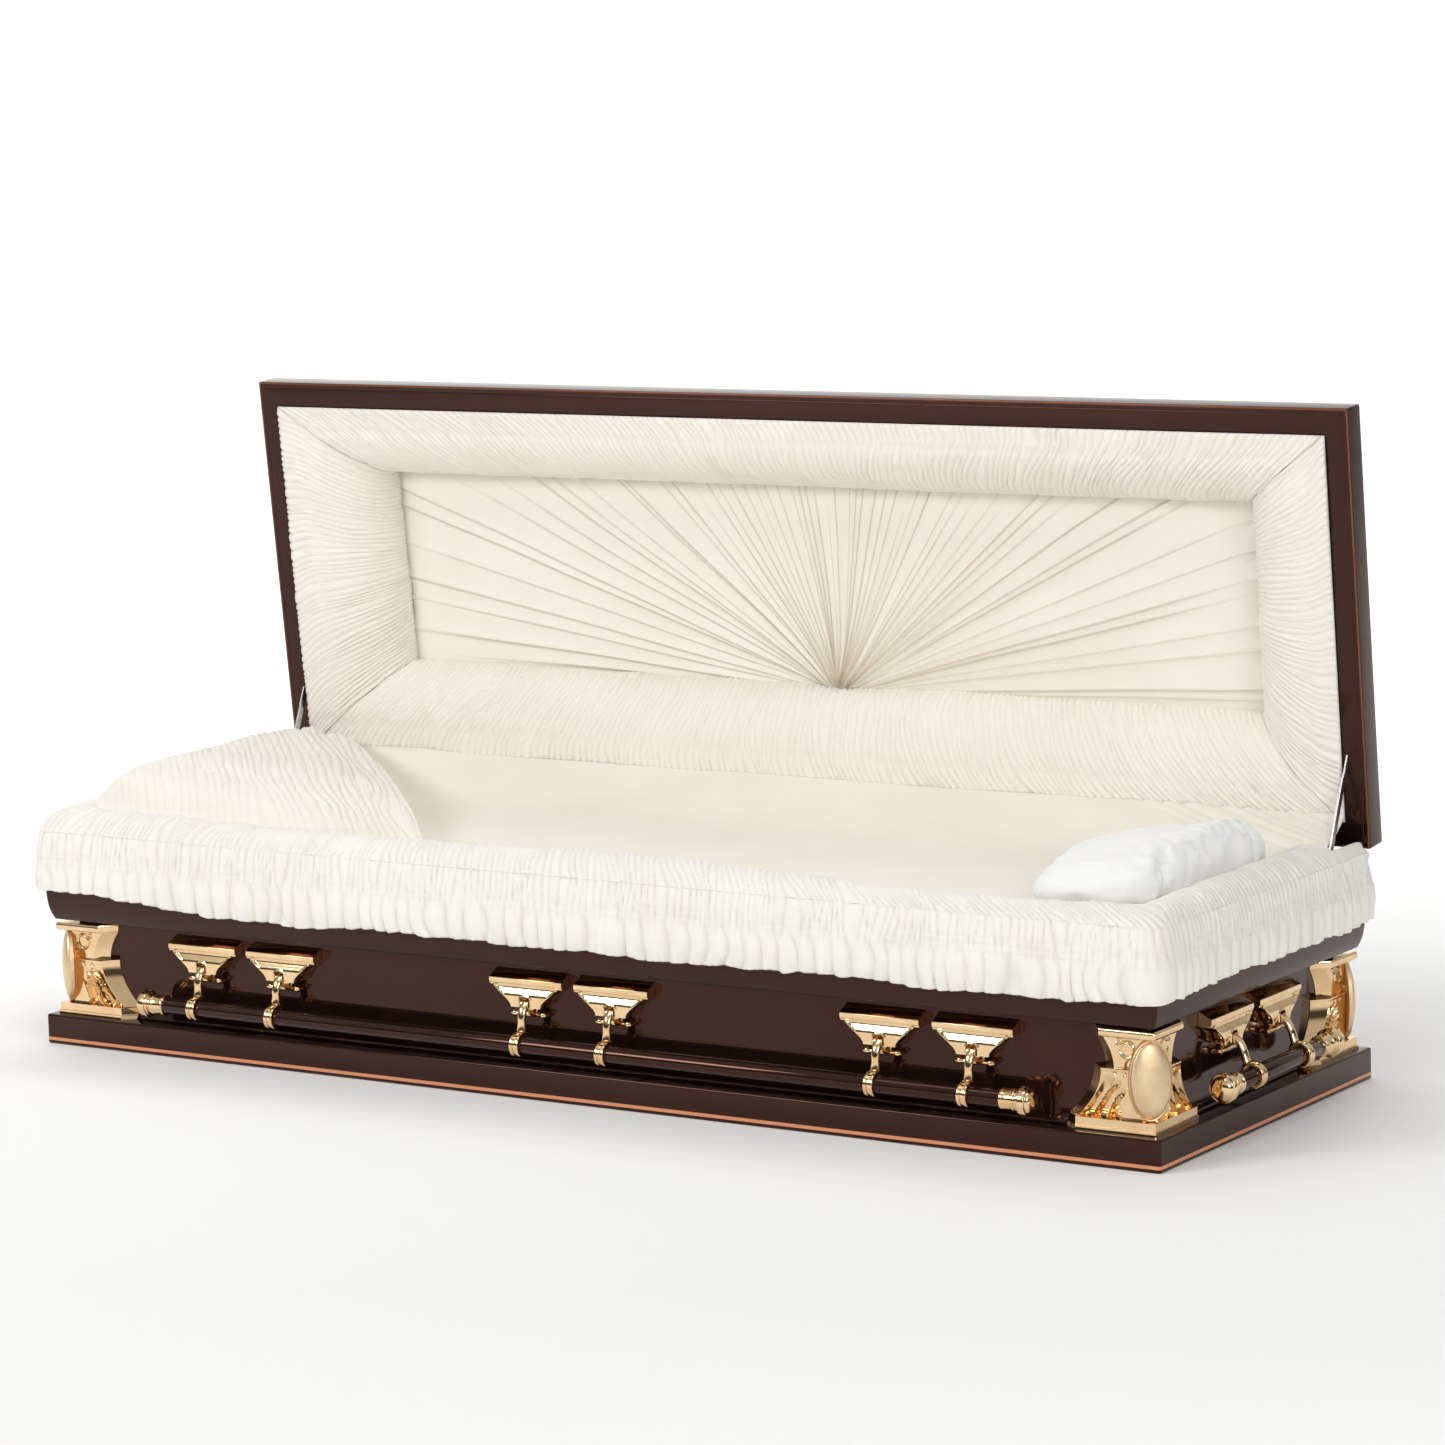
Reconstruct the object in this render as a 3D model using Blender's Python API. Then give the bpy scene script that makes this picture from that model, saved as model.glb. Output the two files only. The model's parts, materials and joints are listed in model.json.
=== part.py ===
# Funeral casket of sheet steel, open, with its lid up: gloss brown shell, gilt corner castings, medallions,
# swing-bar handles and gathered crepe lining.
#
# Metres, +Z up. X runs along the length, +X is the head end, -Y is the front. The origin is the centre of
# the underside. Insets are measured inwards from the outline of the base, on all four sides alike.

import math

import bpy
import bmesh
from mathutils import Matrix, Vector


# Overall
length = 2.12
width = 0.711
fitGap = 0.0003
sheet = 0.0012
floorInset = 0.20
nearlyZero = 0.0006

# Base pan
plinthHeight = 0.0502
plinthRound = 0.004
plinthFlange = 0.075
plinthSheet = 0.0015
cornerRadius = 0.005
cornerSteps = 2

# Body shell
wallInset = 0.043
coveInset = 0.030
coveTop = 0.082
coveSteps = 3
mouldingBottom = 0.212
mouldingLip = 0.0025
mouldingInset = 0.0137
rimInset = 0.0044
mouldingFade = 0.0184
mouldingHeight = 0.050
mouldingSteps = 3
rimTop = 0.362
rimRound = 0.004
ledgeWidth = 0.0240
ledgeDrop = 0.012

# Lid
lidSideInset = 0.00475
lidWidth = width - 2 * lidSideInset
lidGap = 0.0035
lidRimHeight = 0.0434
lidFlange = 0.0466
lidLip = 0.014
lidCoveInset = 0.046
lidCoveHeight = 0.030
lidHeight = 0.196
crownInset = 0.300
crownCornerShare = 0.27
crownSteps = 5
lidCornerSteps = 3
flangeRadius = 0.003
lidOpenDegrees = 84.57
hingeOutset = 0.0034
hingePin = 0.0040
hingeClear = 0.0008
hingeLeafHeight = 0.024
hingeEndInset = 0.100
hingeLength = length - 2 * hingeEndInset
hingeKnuckles = 7
hingeSides = 8

# Lining of the lid
liningGap = 0.0016
liningBulge = 0.004
liningThickness = 0.024
sunburstDepth = 0.100
sunburstSide = 0.212
sunburstHingeEdge = 0.185
sunburstFreeEdge = 0.1685
sunburstThickness = 0.010
sunburstPleats = 22
pleatHeight = 0.004
pleatFocus = 0.012

# Lid stays
stayInset = 0.033
stayThickness = 0.003
stayWidth = 0.012
stayLength = 0.200
stayUp = 0.155
staySetback = 0.009
stayLeanDegrees = 24.0
staySlotAbove = 0.022
staySlotBelow = 0.030
staySlotWidth = 0.010

# Bed
bedSheet = 0.002
mattressTop = 0.354
mattressEndInset = 0.073
mattressSideInset = 0.0595
mattressLength = length - 2 * mattressEndInset
mattressWidth = width - 2 * mattressSideInset
bedFrameTop = 0.262
bedFrameSetback = 0.026
bedFrameEndSetback = 0.037
bedFrameHalfWidth = mattressWidth / 2 - bedFrameSetback
bedFrameLength = mattressLength - 2 * bedFrameEndSetback
bedFrameFoot = 0.030
mattressRound = 0.018

# Cloth
skirtHem = 0.248
skirtTop = 0.397
skirtOutset = 0.009
skirtReach = 0.078
skirtCloth = 0.003
skirtRimClear = 0.0014
skirtEndInset = 0.0065
skirtNarrowLength = 0.097
skirtNarrowFade = 0.020
skirtSideStart = 0.200
skirtMiddle = 0.600
skirtCornerRadius = 0.006
skirtCornerSpread = 0.022
apronEndInset = 0.065
apronLength = length - 2 * apronEndInset
apronTop = 0.410
apronFront = 0.006
pillowLength = 0.47
pillowWidth = 0.31
pillowHeight = 0.076
pillowY = -0.030
pillowSides = 18
pillowSquare = 0.62
footTop = 0.452
clothGap = 0.003
footFrontLength = 0.640
footBackLength = 0.100

# Handles
earSpacing = 0.1625
outerPairInset = 0.4065
outerPairX = length / 2 - outerPairInset
endPairSpacing = 0.160
earWidth = 0.139
earDepth = 0.023
earTop = 0.1885
stripHeight = 0.0120
earRoofRise = 0.012
earBottomWidth = 0.058
earBottom = 0.1435
earFaceStep = 0.0015
pocketDepth = 0.008
pocketHeight = 0.0125
webWidth = 0.024
webDepth = 0.008
footBarWidth = 0.068
footBarHeight = 0.011
footBarDepth = 0.018
footBarDrop = 0.0065
pivotInset = 0.020
pivotHeight = 0.149
knuckleRadius = 0.0065
knuckleWidth = 0.0160
knuckleSides = 8
slotPlay = 0.0006
armReach = 0.0645
armWidth = 0.0105
ringRadius = 0.0200
ringWidth = 0.0165
ringSides = 10
barRadius = 0.0140
sleeveRadius = 0.0172
capRadius = 0.0228
capLength = 0.027
tipLength = 0.056
barSides = 10
sideBarInset = 0.207
endBarInset = 0.1625
sideBarLength = length - 2 * sideBarInset
endBarLength = width - 2 * endBarInset
sideHangDegrees = 18.0
endHangDegrees = 31.5

# Corner castings
castBaseInset = 0.0150
castBaseHeight = 0.0185
castBaseReach = 0.150
castStep = 0.0020
castStepHeight = 0.0060
castShelf = 0.1460
castShelfReach = 0.1080
castNeckReach = 0.0887
castNeckTopReach = 0.1080
castTop = 0.2060
castBarHeight = 0.0125
castBarInset = 0.0155
castFaceInset = 0.0215
castFaceLean = 0.0045
castReturn = 0.022
castChamfer = 0.0340
fluteDepth = 0.0035
ribApart = 0.0040
medallionHalfWidth = 0.0328
medallionGap = 0.0008
medallionRim = 0.0030
medallionDome = 0.0105
medallionSides = 16

halfLength = length / 2
halfWidth = width / 2
lidHalfWidth = lidWidth / 2
lidClosedHeight = rimTop + lidGap
hingeY = halfWidth - rimInset + hingeOutset
lidOpen = math.radians(lidOpenDegrees)
skirtEndBack = halfWidth - skirtEndInset
skirtInner = skirtReach + skirtCloth
castFloor = plinthHeight + fitGap
castBaseTop = castFloor + castBaseHeight
castBarBottom = castTop - castBarHeight
medallionHeight = (castBaseTop + castBarBottom) / 2
medallionHalfHeight = (castBarBottom - castBaseTop) / 2 - medallionGap


def clearScene():
    for item in list(bpy.data.objects):
        bpy.data.objects.remove(item, do_unlink=True)


def makeMaterial(name, colour, roughness, metallic):
    material = bpy.data.materials.new(name)
    material.use_nodes = True
    shader = material.node_tree.nodes["Principled BSDF"]
    shader.inputs["Base Color"].default_value = (*colour, 1.0)
    shader.inputs["Roughness"].default_value = roughness
    shader.inputs["Metallic"].default_value = metallic
    material.diffuse_color = (*colour, 1.0)
    return material


def meshFrom(name, points, faces):
    """A closed mesh from points and faces, with all its normals turned outwards."""
    mesh = bpy.data.meshes.new(name)
    mesh.from_pydata([tuple(point) for point in points], [], faces)
    work = bmesh.new()
    work.from_mesh(mesh)
    bmesh.ops.recalc_face_normals(work, faces=work.faces)
    if work.calc_volume(signed=True) < 0:
        bmesh.ops.reverse_faces(work, faces=work.faces)
    work.to_mesh(mesh)
    work.free()
    return mesh


def smoothMesh(mesh, degrees=35.0):
    mesh.shade_smooth()
    mesh.set_sharp_from_angle(angle=math.radians(degrees))
    return mesh


def place(name, mesh, material, parent=None, matrix=None):
    item = bpy.data.objects.new(name, mesh)
    bpy.context.scene.collection.objects.link(item)
    if not mesh.materials:
        mesh.materials.append(material)
    if parent is not None:
        item.parent = parent
    if matrix is not None:
        item.matrix_local = matrix
    return item


def axisEmpty(name, position, turn=None):
    empty = bpy.data.objects.new(name, None)
    bpy.context.scene.collection.objects.link(empty)
    empty.location = position
    if turn is not None:
        empty.rotation_euler = turn
    return empty


def loftMesh(name, rings, closed):
    """Joins rings of equal length. Open lofts get a cap on the first and last ring, closed ones join up."""
    count = len(rings[0])
    points = [point for ring in rings for point in ring]
    faces = []
    steps = len(rings) if closed else len(rings) - 1
    for ring in range(steps):
        following = (ring + 1) % len(rings)
        for index in range(count):
            ahead = (index + 1) % count
            faces.append((ring * count + index, ring * count + ahead,
                          following * count + ahead, following * count + index))
    if not closed:
        faces.append(tuple(reversed(range(count))))
        last = (len(rings) - 1) * count
        faces.append(tuple(last + index for index in range(count)))
    return meshFrom(name, points, faces)


def prismMesh(name, outline, start, end, axis="X"):
    """An outline carried straight along X or Y from start to end. It holds (y, z) or (x, z) pairs."""
    rings = []
    for level in (start, end):
        if axis == "X":
            rings.append([Vector((level, a, b)) for a, b in outline])
        else:
            rings.append([Vector((a, level, b)) for a, b in outline])
    return loftMesh(name, rings, False)


def turnedMesh(name, profile, sides):
    """A solid turned about X, from a list of (x, radius) that runs from one end to the other."""
    rings = []
    for x, radius in profile:
        ring = []
        for index in range(sides):
            angle = 2 * math.pi * index / sides
            ring.append(Vector((x, radius * math.cos(angle), radius * math.sin(angle))))
        rings.append(ring)
    return smoothMesh(loftMesh(name, rings, False))


def combine(name, base, additions=(), cuts=()):
    """Boolean union of the base with the additions, less the cuts, as one new mesh."""
    helpers = []
    main = bpy.data.objects.new(name + "_base", base)
    bpy.context.scene.collection.objects.link(main)
    for operation, group in (("UNION", additions), ("DIFFERENCE", cuts)):
        for mesh in group:
            tool = bpy.data.objects.new(name + "_tool", mesh)
            bpy.context.scene.collection.objects.link(tool)
            modifier = main.modifiers.new(operation.title(), "BOOLEAN")
            modifier.operation = operation
            modifier.object = tool
            helpers.append(tool)
    graph = bpy.context.evaluated_depsgraph_get()
    graph.update()
    result = bpy.data.meshes.new_from_object(main.evaluated_get(graph))
    result.name = name
    for helper in helpers + [main]:
        bpy.data.objects.remove(helper, do_unlink=True)
    return smoothMesh(result)


def offsetProfile(profile, distance):
    """The open profile shifted to its left by the distance, with mitred corners."""
    shifted = []
    for index, point in enumerate(profile):
        here = Vector(point)
        before = Vector(profile[index - 1]) if index > 0 else None
        after = Vector(profile[index + 1]) if index < len(profile) - 1 else None
        directions = []
        if before is not None:
            directions.append((here - before).normalized())
        if after is not None:
            directions.append((after - here).normalized())
        normals = [Vector((-direction.y, direction.x)) for direction in directions]
        mean = sum(normals, Vector((0, 0))).normalized()
        shifted.append(tuple(here + mean * distance / max(0.35, mean.dot(normals[0]))))
    return shifted


def rectangleRing(inset, z, halfX, halfY, radius, steps, centre=(0.0, 0.0)):
    """One level ring round a rectangle, inset from its outline, with arcs of the given radius as corners."""
    a = halfX - inset
    b = halfY - inset
    r = min(radius, 0.98 * a, 0.98 * b)
    ring = []
    for corner, (signX, signY) in enumerate(((1, -1), (1, 1), (-1, 1), (-1, -1))):
        for step in range(steps + 1):
            angle = math.radians(-90 + 90 * corner + 90 * step / steps)
            ring.append(Vector((centre[0] + signX * (a - r) + r * math.cos(angle),
                                centre[1] + signY * (b - r) + r * math.sin(angle), z)))
    return ring


def baseRing(inset, z):
    return rectangleRing(inset, z, halfLength, halfWidth, cornerRadius, cornerSteps)


def basePlinthMesh():
    outer = [(floorInset, 0.0), (plinthRound, 0.0)]
    outer += [(0.0, plinthRound), (0.0, plinthHeight - plinthRound)]
    outer += [(plinthRound, plinthHeight), (plinthFlange, plinthHeight)]
    inner = offsetProfile(outer, -plinthSheet)
    inner[-1] = (plinthFlange, plinthHeight - plinthSheet)
    inner[0] = (floorInset, plinthSheet)
    rings = [baseRing(o, z) for o, z in outer + inner[::-1]]
    return smoothMesh(loftMesh("base_plinth", rings, False))


def bodyProfile():
    """Outer skin from the middle of the floor up to the inner edge of the ledge, as (inset, height)."""
    floor = plinthHeight + fitGap
    skin = [(floorInset, floor), (coveInset, floor)]
    for step in range(1, coveSteps + 1):
        angle = math.radians(90 - 90 * step / coveSteps)
        skin.append((coveInset + (wallInset - coveInset) * math.cos(angle),
                     coveTop - (coveTop - floor) * math.sin(angle)))
    skin.append((wallInset, mouldingBottom))
    for step in range(mouldingSteps + 1):
        rise = mouldingHeight * (step / mouldingSteps) ** 1.6
        fade = math.exp(-rise / mouldingFade)
        skin.append((rimInset + (mouldingInset - rimInset) * fade, mouldingBottom + mouldingLip + rise))
    skin.append((rimInset, rimTop - rimRound))
    skin.append((rimInset + 0.3 * rimRound, rimTop - 0.3 * rimRound))
    skin.append((rimInset + rimRound, rimTop))
    skin.append((rimInset + ledgeWidth, rimTop))
    skin.append((rimInset + ledgeWidth, rimTop - ledgeDrop))
    return skin


def bodyShellMesh():
    outer = bodyProfile()
    inner = offsetProfile(outer, -sheet)
    inner[0] = (outer[0][0], outer[0][1] + sheet)
    inner[-1] = (outer[-1][0] - sheet, outer[-1][1])
    rings = [baseRing(o, z) for o, z in outer + inner[::-1]]
    return smoothMesh(loftMesh("body_shell", rings, False))


def lidProfile():
    """Outer skin of the closed lid from the crown's middle down to the end of the inner lip."""
    crownFoot = lidRimHeight + lidCoveHeight
    skin = []
    for step in range(crownSteps + 1):
        angle = math.radians(90 * step / crownSteps)
        inset = crownInset - (crownInset - lidCoveInset) * math.sin(angle)
        skin.append((inset, crownFoot + (lidHeight - crownFoot) * math.cos(angle)))
    for step in (1, 2):
        angle = math.radians(45 * step)
        skin.append((lidCoveInset - (lidCoveInset - 0.006) * (1 - math.cos(angle)),
                     crownFoot - (lidCoveHeight - 0.002) * math.sin(angle)))
    skin.append((0.003, lidRimHeight))
    skin.append((0.0, lidRimHeight - 0.003))
    skin.append((0.0, 0.003))
    skin.append((0.003, 0.0))
    skin.append((lidFlange, 0.0))
    skin.append((lidFlange, lidLip))
    return skin


def lidRing(inset, height):
    """One level of the lid. Its frame has tight corners, and those of the crown open with the inset."""
    radius = flangeRadius if height < lidRimHeight - 0.001 else cornerRadius + crownCornerShare * inset
    return rectangleRing(inset, lidClosedHeight + height, halfLength, lidHalfWidth, radius, lidCornerSteps)


def lidShellMesh():
    outer = lidProfile()
    inner = offsetProfile(outer, sheet)
    inner[0] = (outer[0][0], outer[0][1] - sheet)
    inner[-1] = (outer[-1][0] - sheet, outer[-1][1])
    shell = smoothMesh(loftMesh("lid_shell", [lidRing(o, z) for o, z in outer + inner[::-1]], False))
    cuts = []
    for side in (-1, 1):
        middle = side * (halfLength - stayInset)
        pivotY = lidHalfWidth - stayUp
        low = lidClosedHeight - staySlotWidth
        high = lidClosedHeight + staySlotWidth / 2
        outline = [(pivotY - staySlotAbove, low), (pivotY + staySlotBelow, low),
                   (pivotY + staySlotBelow, high), (pivotY - staySlotAbove, high)]
        cuts.append(prismMesh("stay_slot", outline, middle - staySlotWidth / 2, middle + staySlotWidth / 2))
    return combine("lid_shell", shell, cuts=cuts)


def edgeRectangle(side, hingeEdge, freeEdge, height):
    """Corners of a rectangle in the closed lid, by its insets from the ends, hinge and free edge."""
    x = halfLength - side
    back = lidHalfWidth - hingeEdge
    front = -lidHalfWidth + freeEdge
    z = lidClosedHeight + height
    return [Vector((-x, front, z)), Vector((x, front, z)), Vector((x, back, z)), Vector((-x, back, z))]


def lidLiningMesh():
    """A padded roll: its face bows out at the rim and turns up, by a quarter ellipse, to the middle panel."""
    outer = lidFlange + liningGap
    steps = 5
    front = []
    back = []
    for step in range(steps + 1):
        t = step / steps
        side = outer + (sunburstSide - outer) * t
        hinge = outer + (sunburstHingeEdge - outer) * t
        free = outer + (sunburstFreeEdge - outer) * t
        height = sunburstDepth * (1 - math.sqrt(1 - t * t)) - liningBulge * math.sin(math.pi * t) + 0.001
        front.append(edgeRectangle(side, hinge, free, height))
        if step in (0, 3, steps):
            back.append(edgeRectangle(side, hinge, free, height + liningThickness))
    return smoothMesh(loftMesh("lid_lining", front + back[::-1], True), 50)


def sunburstMesh():
    """A flat panel whose face is folded into pleats that all start at the middle of its hinge edge."""
    x = halfLength - sunburstSide - 2 * liningGap
    back = lidHalfWidth - sunburstHingeEdge - 2 * liningGap
    front = -lidHalfWidth + sunburstFreeEdge + 2 * liningGap
    z = lidClosedHeight + sunburstDepth + 0.004
    focus = Vector((0.0, back - pleatFocus, z))
    rim = []
    for index in range(2 * sunburstPleats + 1):
        angle = math.pi * index / (2 * sunburstPleats)
        direction = Vector((math.cos(angle), -math.sin(angle), 0))
        reachX = (x / abs(direction.x)) if abs(direction.x) > 1e-6 else 1e9
        reachY = (focus.y - front) / max(1e-6, -direction.y)
        point = focus + direction * min(reachX, reachY)
        rim.append(point + Vector((0, 0, pleatHeight * (index % 2))))
    rim.append(Vector((-x, back, z)))
    rim.append(Vector((x, back, z)))
    count = len(rim)
    points = [focus] + rim + [Vector((point.x, point.y, z + sunburstThickness)) for point in rim]
    faces = []
    for index in range(count):
        ahead = (index + 1) % count
        faces.append((0, 1 + index, 1 + ahead))
        faces.append((1 + index, 1 + count + index, 1 + count + ahead, 1 + ahead))
    faces.append(tuple(range(1 + count, 1 + 2 * count)))
    return meshFrom("lid_sunburst", points, faces)


def stayMesh():
    """A flat bar with round ends, hanging from its pivot at the origin."""
    half = stayWidth / 2
    outline = []
    for step in range(7):
        angle = math.pi * step / 6
        outline.append((half * math.cos(angle), half * math.sin(angle)))
    for step in range(7):
        angle = math.pi + math.pi * step / 6
        outline.append((half * math.cos(angle), -stayLength + half * math.sin(angle)))
    return prismMesh("lid_stay", outline, -stayThickness / 2, stayThickness / 2)


def hingeLeafMesh(name, face, towards, owner):
    """One half of the long hinge: a flat leaf clear of the pin, and every second knuckle with its tab.

    The leaf lies on the face at y, and goes away from the pin's height in the direction of towards, -1 or 1.
    """
    near = rimTop + towards * (hingePin + hingeClear)
    far = rimTop + towards * hingeLeafHeight

    def strip(title, first, last, start, end):
        outline = [(face, first), (face + sheet, first), (face + sheet, last), (face, last)]
        return prismMesh(title, outline, start, end)

    leaf = strip(name, near, far, -hingeLength / 2, hingeLength / 2)
    pitch = hingeLength / hingeKnuckles
    parts = []
    for index in range(owner, hingeKnuckles, 2):
        start = -hingeLength / 2 + index * pitch + fitGap
        end = start + pitch - 2 * fitGap
        ring = []
        for step in range(hingeSides):
            angle = 2 * math.pi * (step + 0.5) / hingeSides
            ring.append((hingeY + hingePin * math.cos(angle), rimTop + hingePin * math.sin(angle)))
        parts.append(prismMesh(name + "_knuckle", ring, start, end))
        parts.append(strip(name + "_tab", rimTop, near + towards * hingeClear, start + fitGap, end - fitGap))
    return combine(name, leaf, additions=parts)


def bedFrameMesh():
    """A pressed tray: flat top, two side skirts down to the floor of the shell, and feet turned outwards."""
    foot = plinthHeight + fitGap + sheet + fitGap
    half = bedFrameHalfWidth
    right = [(half, bedFrameTop - bedSheet), (half, foot), (half + bedFrameFoot, foot),
             (half + bedFrameFoot, foot + bedSheet), (half + bedSheet, foot + bedSheet),
             (half + bedSheet, bedFrameTop)]
    outline = right + [(-y, z) for y, z in right[::-1]]
    return prismMesh("bed_frame", outline, -bedFrameLength / 2, bedFrameLength / 2)


def cushionRings(halfX, halfY, low, high, roundness, radius, crown):
    """Level rings of a soft block: rounded at the bottom and top edges, and crowned on top."""
    rings = []
    brow = high - crown
    for inset, height in ((roundness, low), (0.0, low + roundness), (0.0, brow - roundness),
                          (0.3 * roundness, brow - 0.3 * roundness), (roundness, brow), (0.8 * halfY, high)):
        rings.append(rectangleRing(inset, height, halfX, halfY, radius, cornerSteps))
    return rings


def mattressMesh():
    rings = cushionRings(mattressLength / 2, mattressWidth / 2, bedFrameTop + fitGap, mattressTop,
                         mattressRound, 0.03, 0.003)
    return smoothMesh(loftMesh("mattress", rings, False), 50)


def pillowMesh():
    """A pillow: superellipse rings, widest at a third of its height."""
    rings = []
    low = mattressTop + fitGap
    pillowX = halfLength - skirtInner - clothGap - pillowWidth / 2
    for level, size in ((0.0, 0.72), (0.12, 0.92), (0.34, 1.0), (0.62, 0.90), (0.85, 0.64), (1.0, 0.25)):
        ring = []
        for index in range(pillowSides):
            angle = 2 * math.pi * index / pillowSides
            across = math.copysign(abs(math.cos(angle)) ** pillowSquare, math.cos(angle))
            along = math.copysign(abs(math.sin(angle)) ** pillowSquare, math.sin(angle))
            ring.append(Vector((pillowX + size * pillowWidth / 2 * across,
                                pillowY + size * pillowLength / 2 * along, low + level * pillowHeight)))
        rings.append(ring)
    return smoothMesh(loftMesh("pillow", rings, False), 60)


def footOverlayMesh():
    """A puff of cloth at the foot end: high along the end wall, and falling to a slanting free edge."""
    low = mattressTop + fitGap
    back = mattressWidth / 2 - 0.006
    front = -halfWidth + skirtInner + clothGap
    footEnd = halfLength - skirtInner - clothGap
    steps = 6
    rings = []
    for step in range(steps + 1):
        t = step / steps
        y = front + (back - front) * t
        freeX = -footEnd + footFrontLength + (footBackLength - footFrontLength) * t
        shoulder = 0.55 + 0.45 * math.sin(math.pi * min(1.0, 0.12 + t))
        top = mattressTop + (footTop - mattressTop) * shoulder
        span = freeX + footEnd
        curve = ((0.0, 0.0), (0.0, 0.55), (0.06, 1.0), (0.35, 0.80), (0.72, 0.34), (1.0, 0.05), (0.99, 0.0))
        rings.append([Vector((-footEnd + along * span, y, low + rise * (top - low))) for along, rise in curve])
    return smoothMesh(loftMesh("foot_overlay", rings, False), 50)


def skirtProfile():
    """Cross-section of the cloth over the rim as (inset, height): its outer side down to up, then its inner side."""
    rise = skirtTop - skirtHem
    outer = [(-1.0 * skirtOutset, 0.0), (-0.67 * skirtOutset, 0.28), (-0.11 * skirtOutset, 0.585),
             (0.006 * skirtReach, 0.765), (0.12 * skirtReach, 0.802), (0.28 * skirtReach, 0.945),
             (0.51 * skirtReach, 1.0), (0.77 * skirtReach, 0.973), (skirtReach, 0.832)]
    outer = [(o, skirtHem + share * rise) for o, share in outer]
    hung = [(0.0, 0.585), (-0.67 * skirtOutset, 0.28), (-1.0 * skirtOutset, 0.0)]
    inner = [(skirtInner, mattressTop + skirtCloth), (0.75 * skirtReach, rimTop - skirtRimClear),
             (0.50 * skirtReach, rimTop - 0.5 * skirtRimClear), (0.30 * skirtReach, rimTop + 0.5 * skirtRimClear),
             (2 * rimInset, rimTop + skirtRimClear), (0.7 * rimInset, rimTop + fitGap)]
    inner += [(o + (skirtCloth if o < 0 else fitGap), skirtHem + share * rise) for o, share in hung]
    return outer, inner


def skirtRings():
    """Sections of the gathered cloth over the rim, round both ends and the front, drawn in to pass the stays."""
    outer, inner = skirtProfile()
    narrowFrom = skirtEndBack - skirtNarrowLength
    stations = []
    for y in (skirtEndBack, narrowFrom, narrowFrom - skirtNarrowFade, 0.0, -skirtSideStart):
        stations.append(("side", -1, y))
    for degrees in (0, 30, 60, 90):
        stations.append(("corner", -1, degrees))
    for x in (-skirtMiddle, 0.0, skirtMiddle):
        stations.append(("front", 1, x))
    for degrees in (90, 60, 30, 0):
        stations.append(("corner", 1, degrees))
    for y in (-skirtSideStart, 0.0, narrowFrom - skirtNarrowFade, narrowFrom, skirtEndBack):
        stations.append(("side", 1, y))
    knee = 2 * rimInset
    drawn = (stayInset - stayThickness / 2 - skirtCloth - knee) / (skirtInner - knee)
    rings = []
    for kind, sign, value in stations:
        narrow = kind == "side" and value > narrowFrom - skirtNarrowFade / 2
        ring = []
        for index, (o, z) in enumerate(outer + inner):
            if narrow and o > knee:
                o = knee + (o - knee) * drawn
                if index >= len(outer):
                    z = rimTop + skirtRimClear
            if kind == "side":
                ring.append(Vector((sign * (halfLength - o), value, z)))
            elif kind == "front":
                ring.append(Vector((value, -halfWidth + o, z)))
            else:
                share = max(0.0, o / skirtInner)
                r = skirtCornerRadius + 4 * skirtCornerSpread * share * (1 - share) - min(0.0, o)
                turn = math.radians(value)
                ring.append(Vector((sign * (halfLength - o - r + r * math.cos(turn)),
                                    -halfWidth + o + r - r * math.sin(turn), z)))
        rings.append(ring)
    return rings


def skirtMesh():
    """Loft of the sections, its ends closed in strips from side to side, and cut into flat triangles."""
    rings = skirtRings()
    count = len(rings[0])
    last = (len(rings) - 1) * count
    faces = []
    for row in range(len(rings) - 1):
        for index in range(count):
            low = row * count + index
            ahead = row * count + (index + 1) % count
            faces.append((low, ahead, ahead + count, low + count))
    for index in range(count // 2 - 1):
        strip = (index, index + 1, count - 2 - index, count - 1 - index)
        faces.append(strip)
        faces.append(tuple(last + corner for corner in strip[::-1]))
    mesh = meshFrom("rail_overlay", [point for ring in rings for point in ring], faces)
    work = bmesh.new()
    work.from_mesh(mesh)
    bmesh.ops.triangulate(work, faces=work.faces)
    work.to_mesh(mesh)
    work.free()
    return smoothMesh(mesh, 60)


def apronMesh():
    """Plain cloth behind the mattress, rising to the lower edge of the lid's lining."""
    face = halfWidth - rimInset - 0.006
    outline = [(mattressWidth / 2 + 0.003, mattressTop + 0.001), (face - 0.014, rimTop + 0.0012),
               (face, rimTop + 0.0012), (face - apronFront * 0.2, apronTop), (face - apronFront, apronTop)]
    return prismMesh("back_apron", outline, -apronLength / 2, apronLength / 2)


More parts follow.
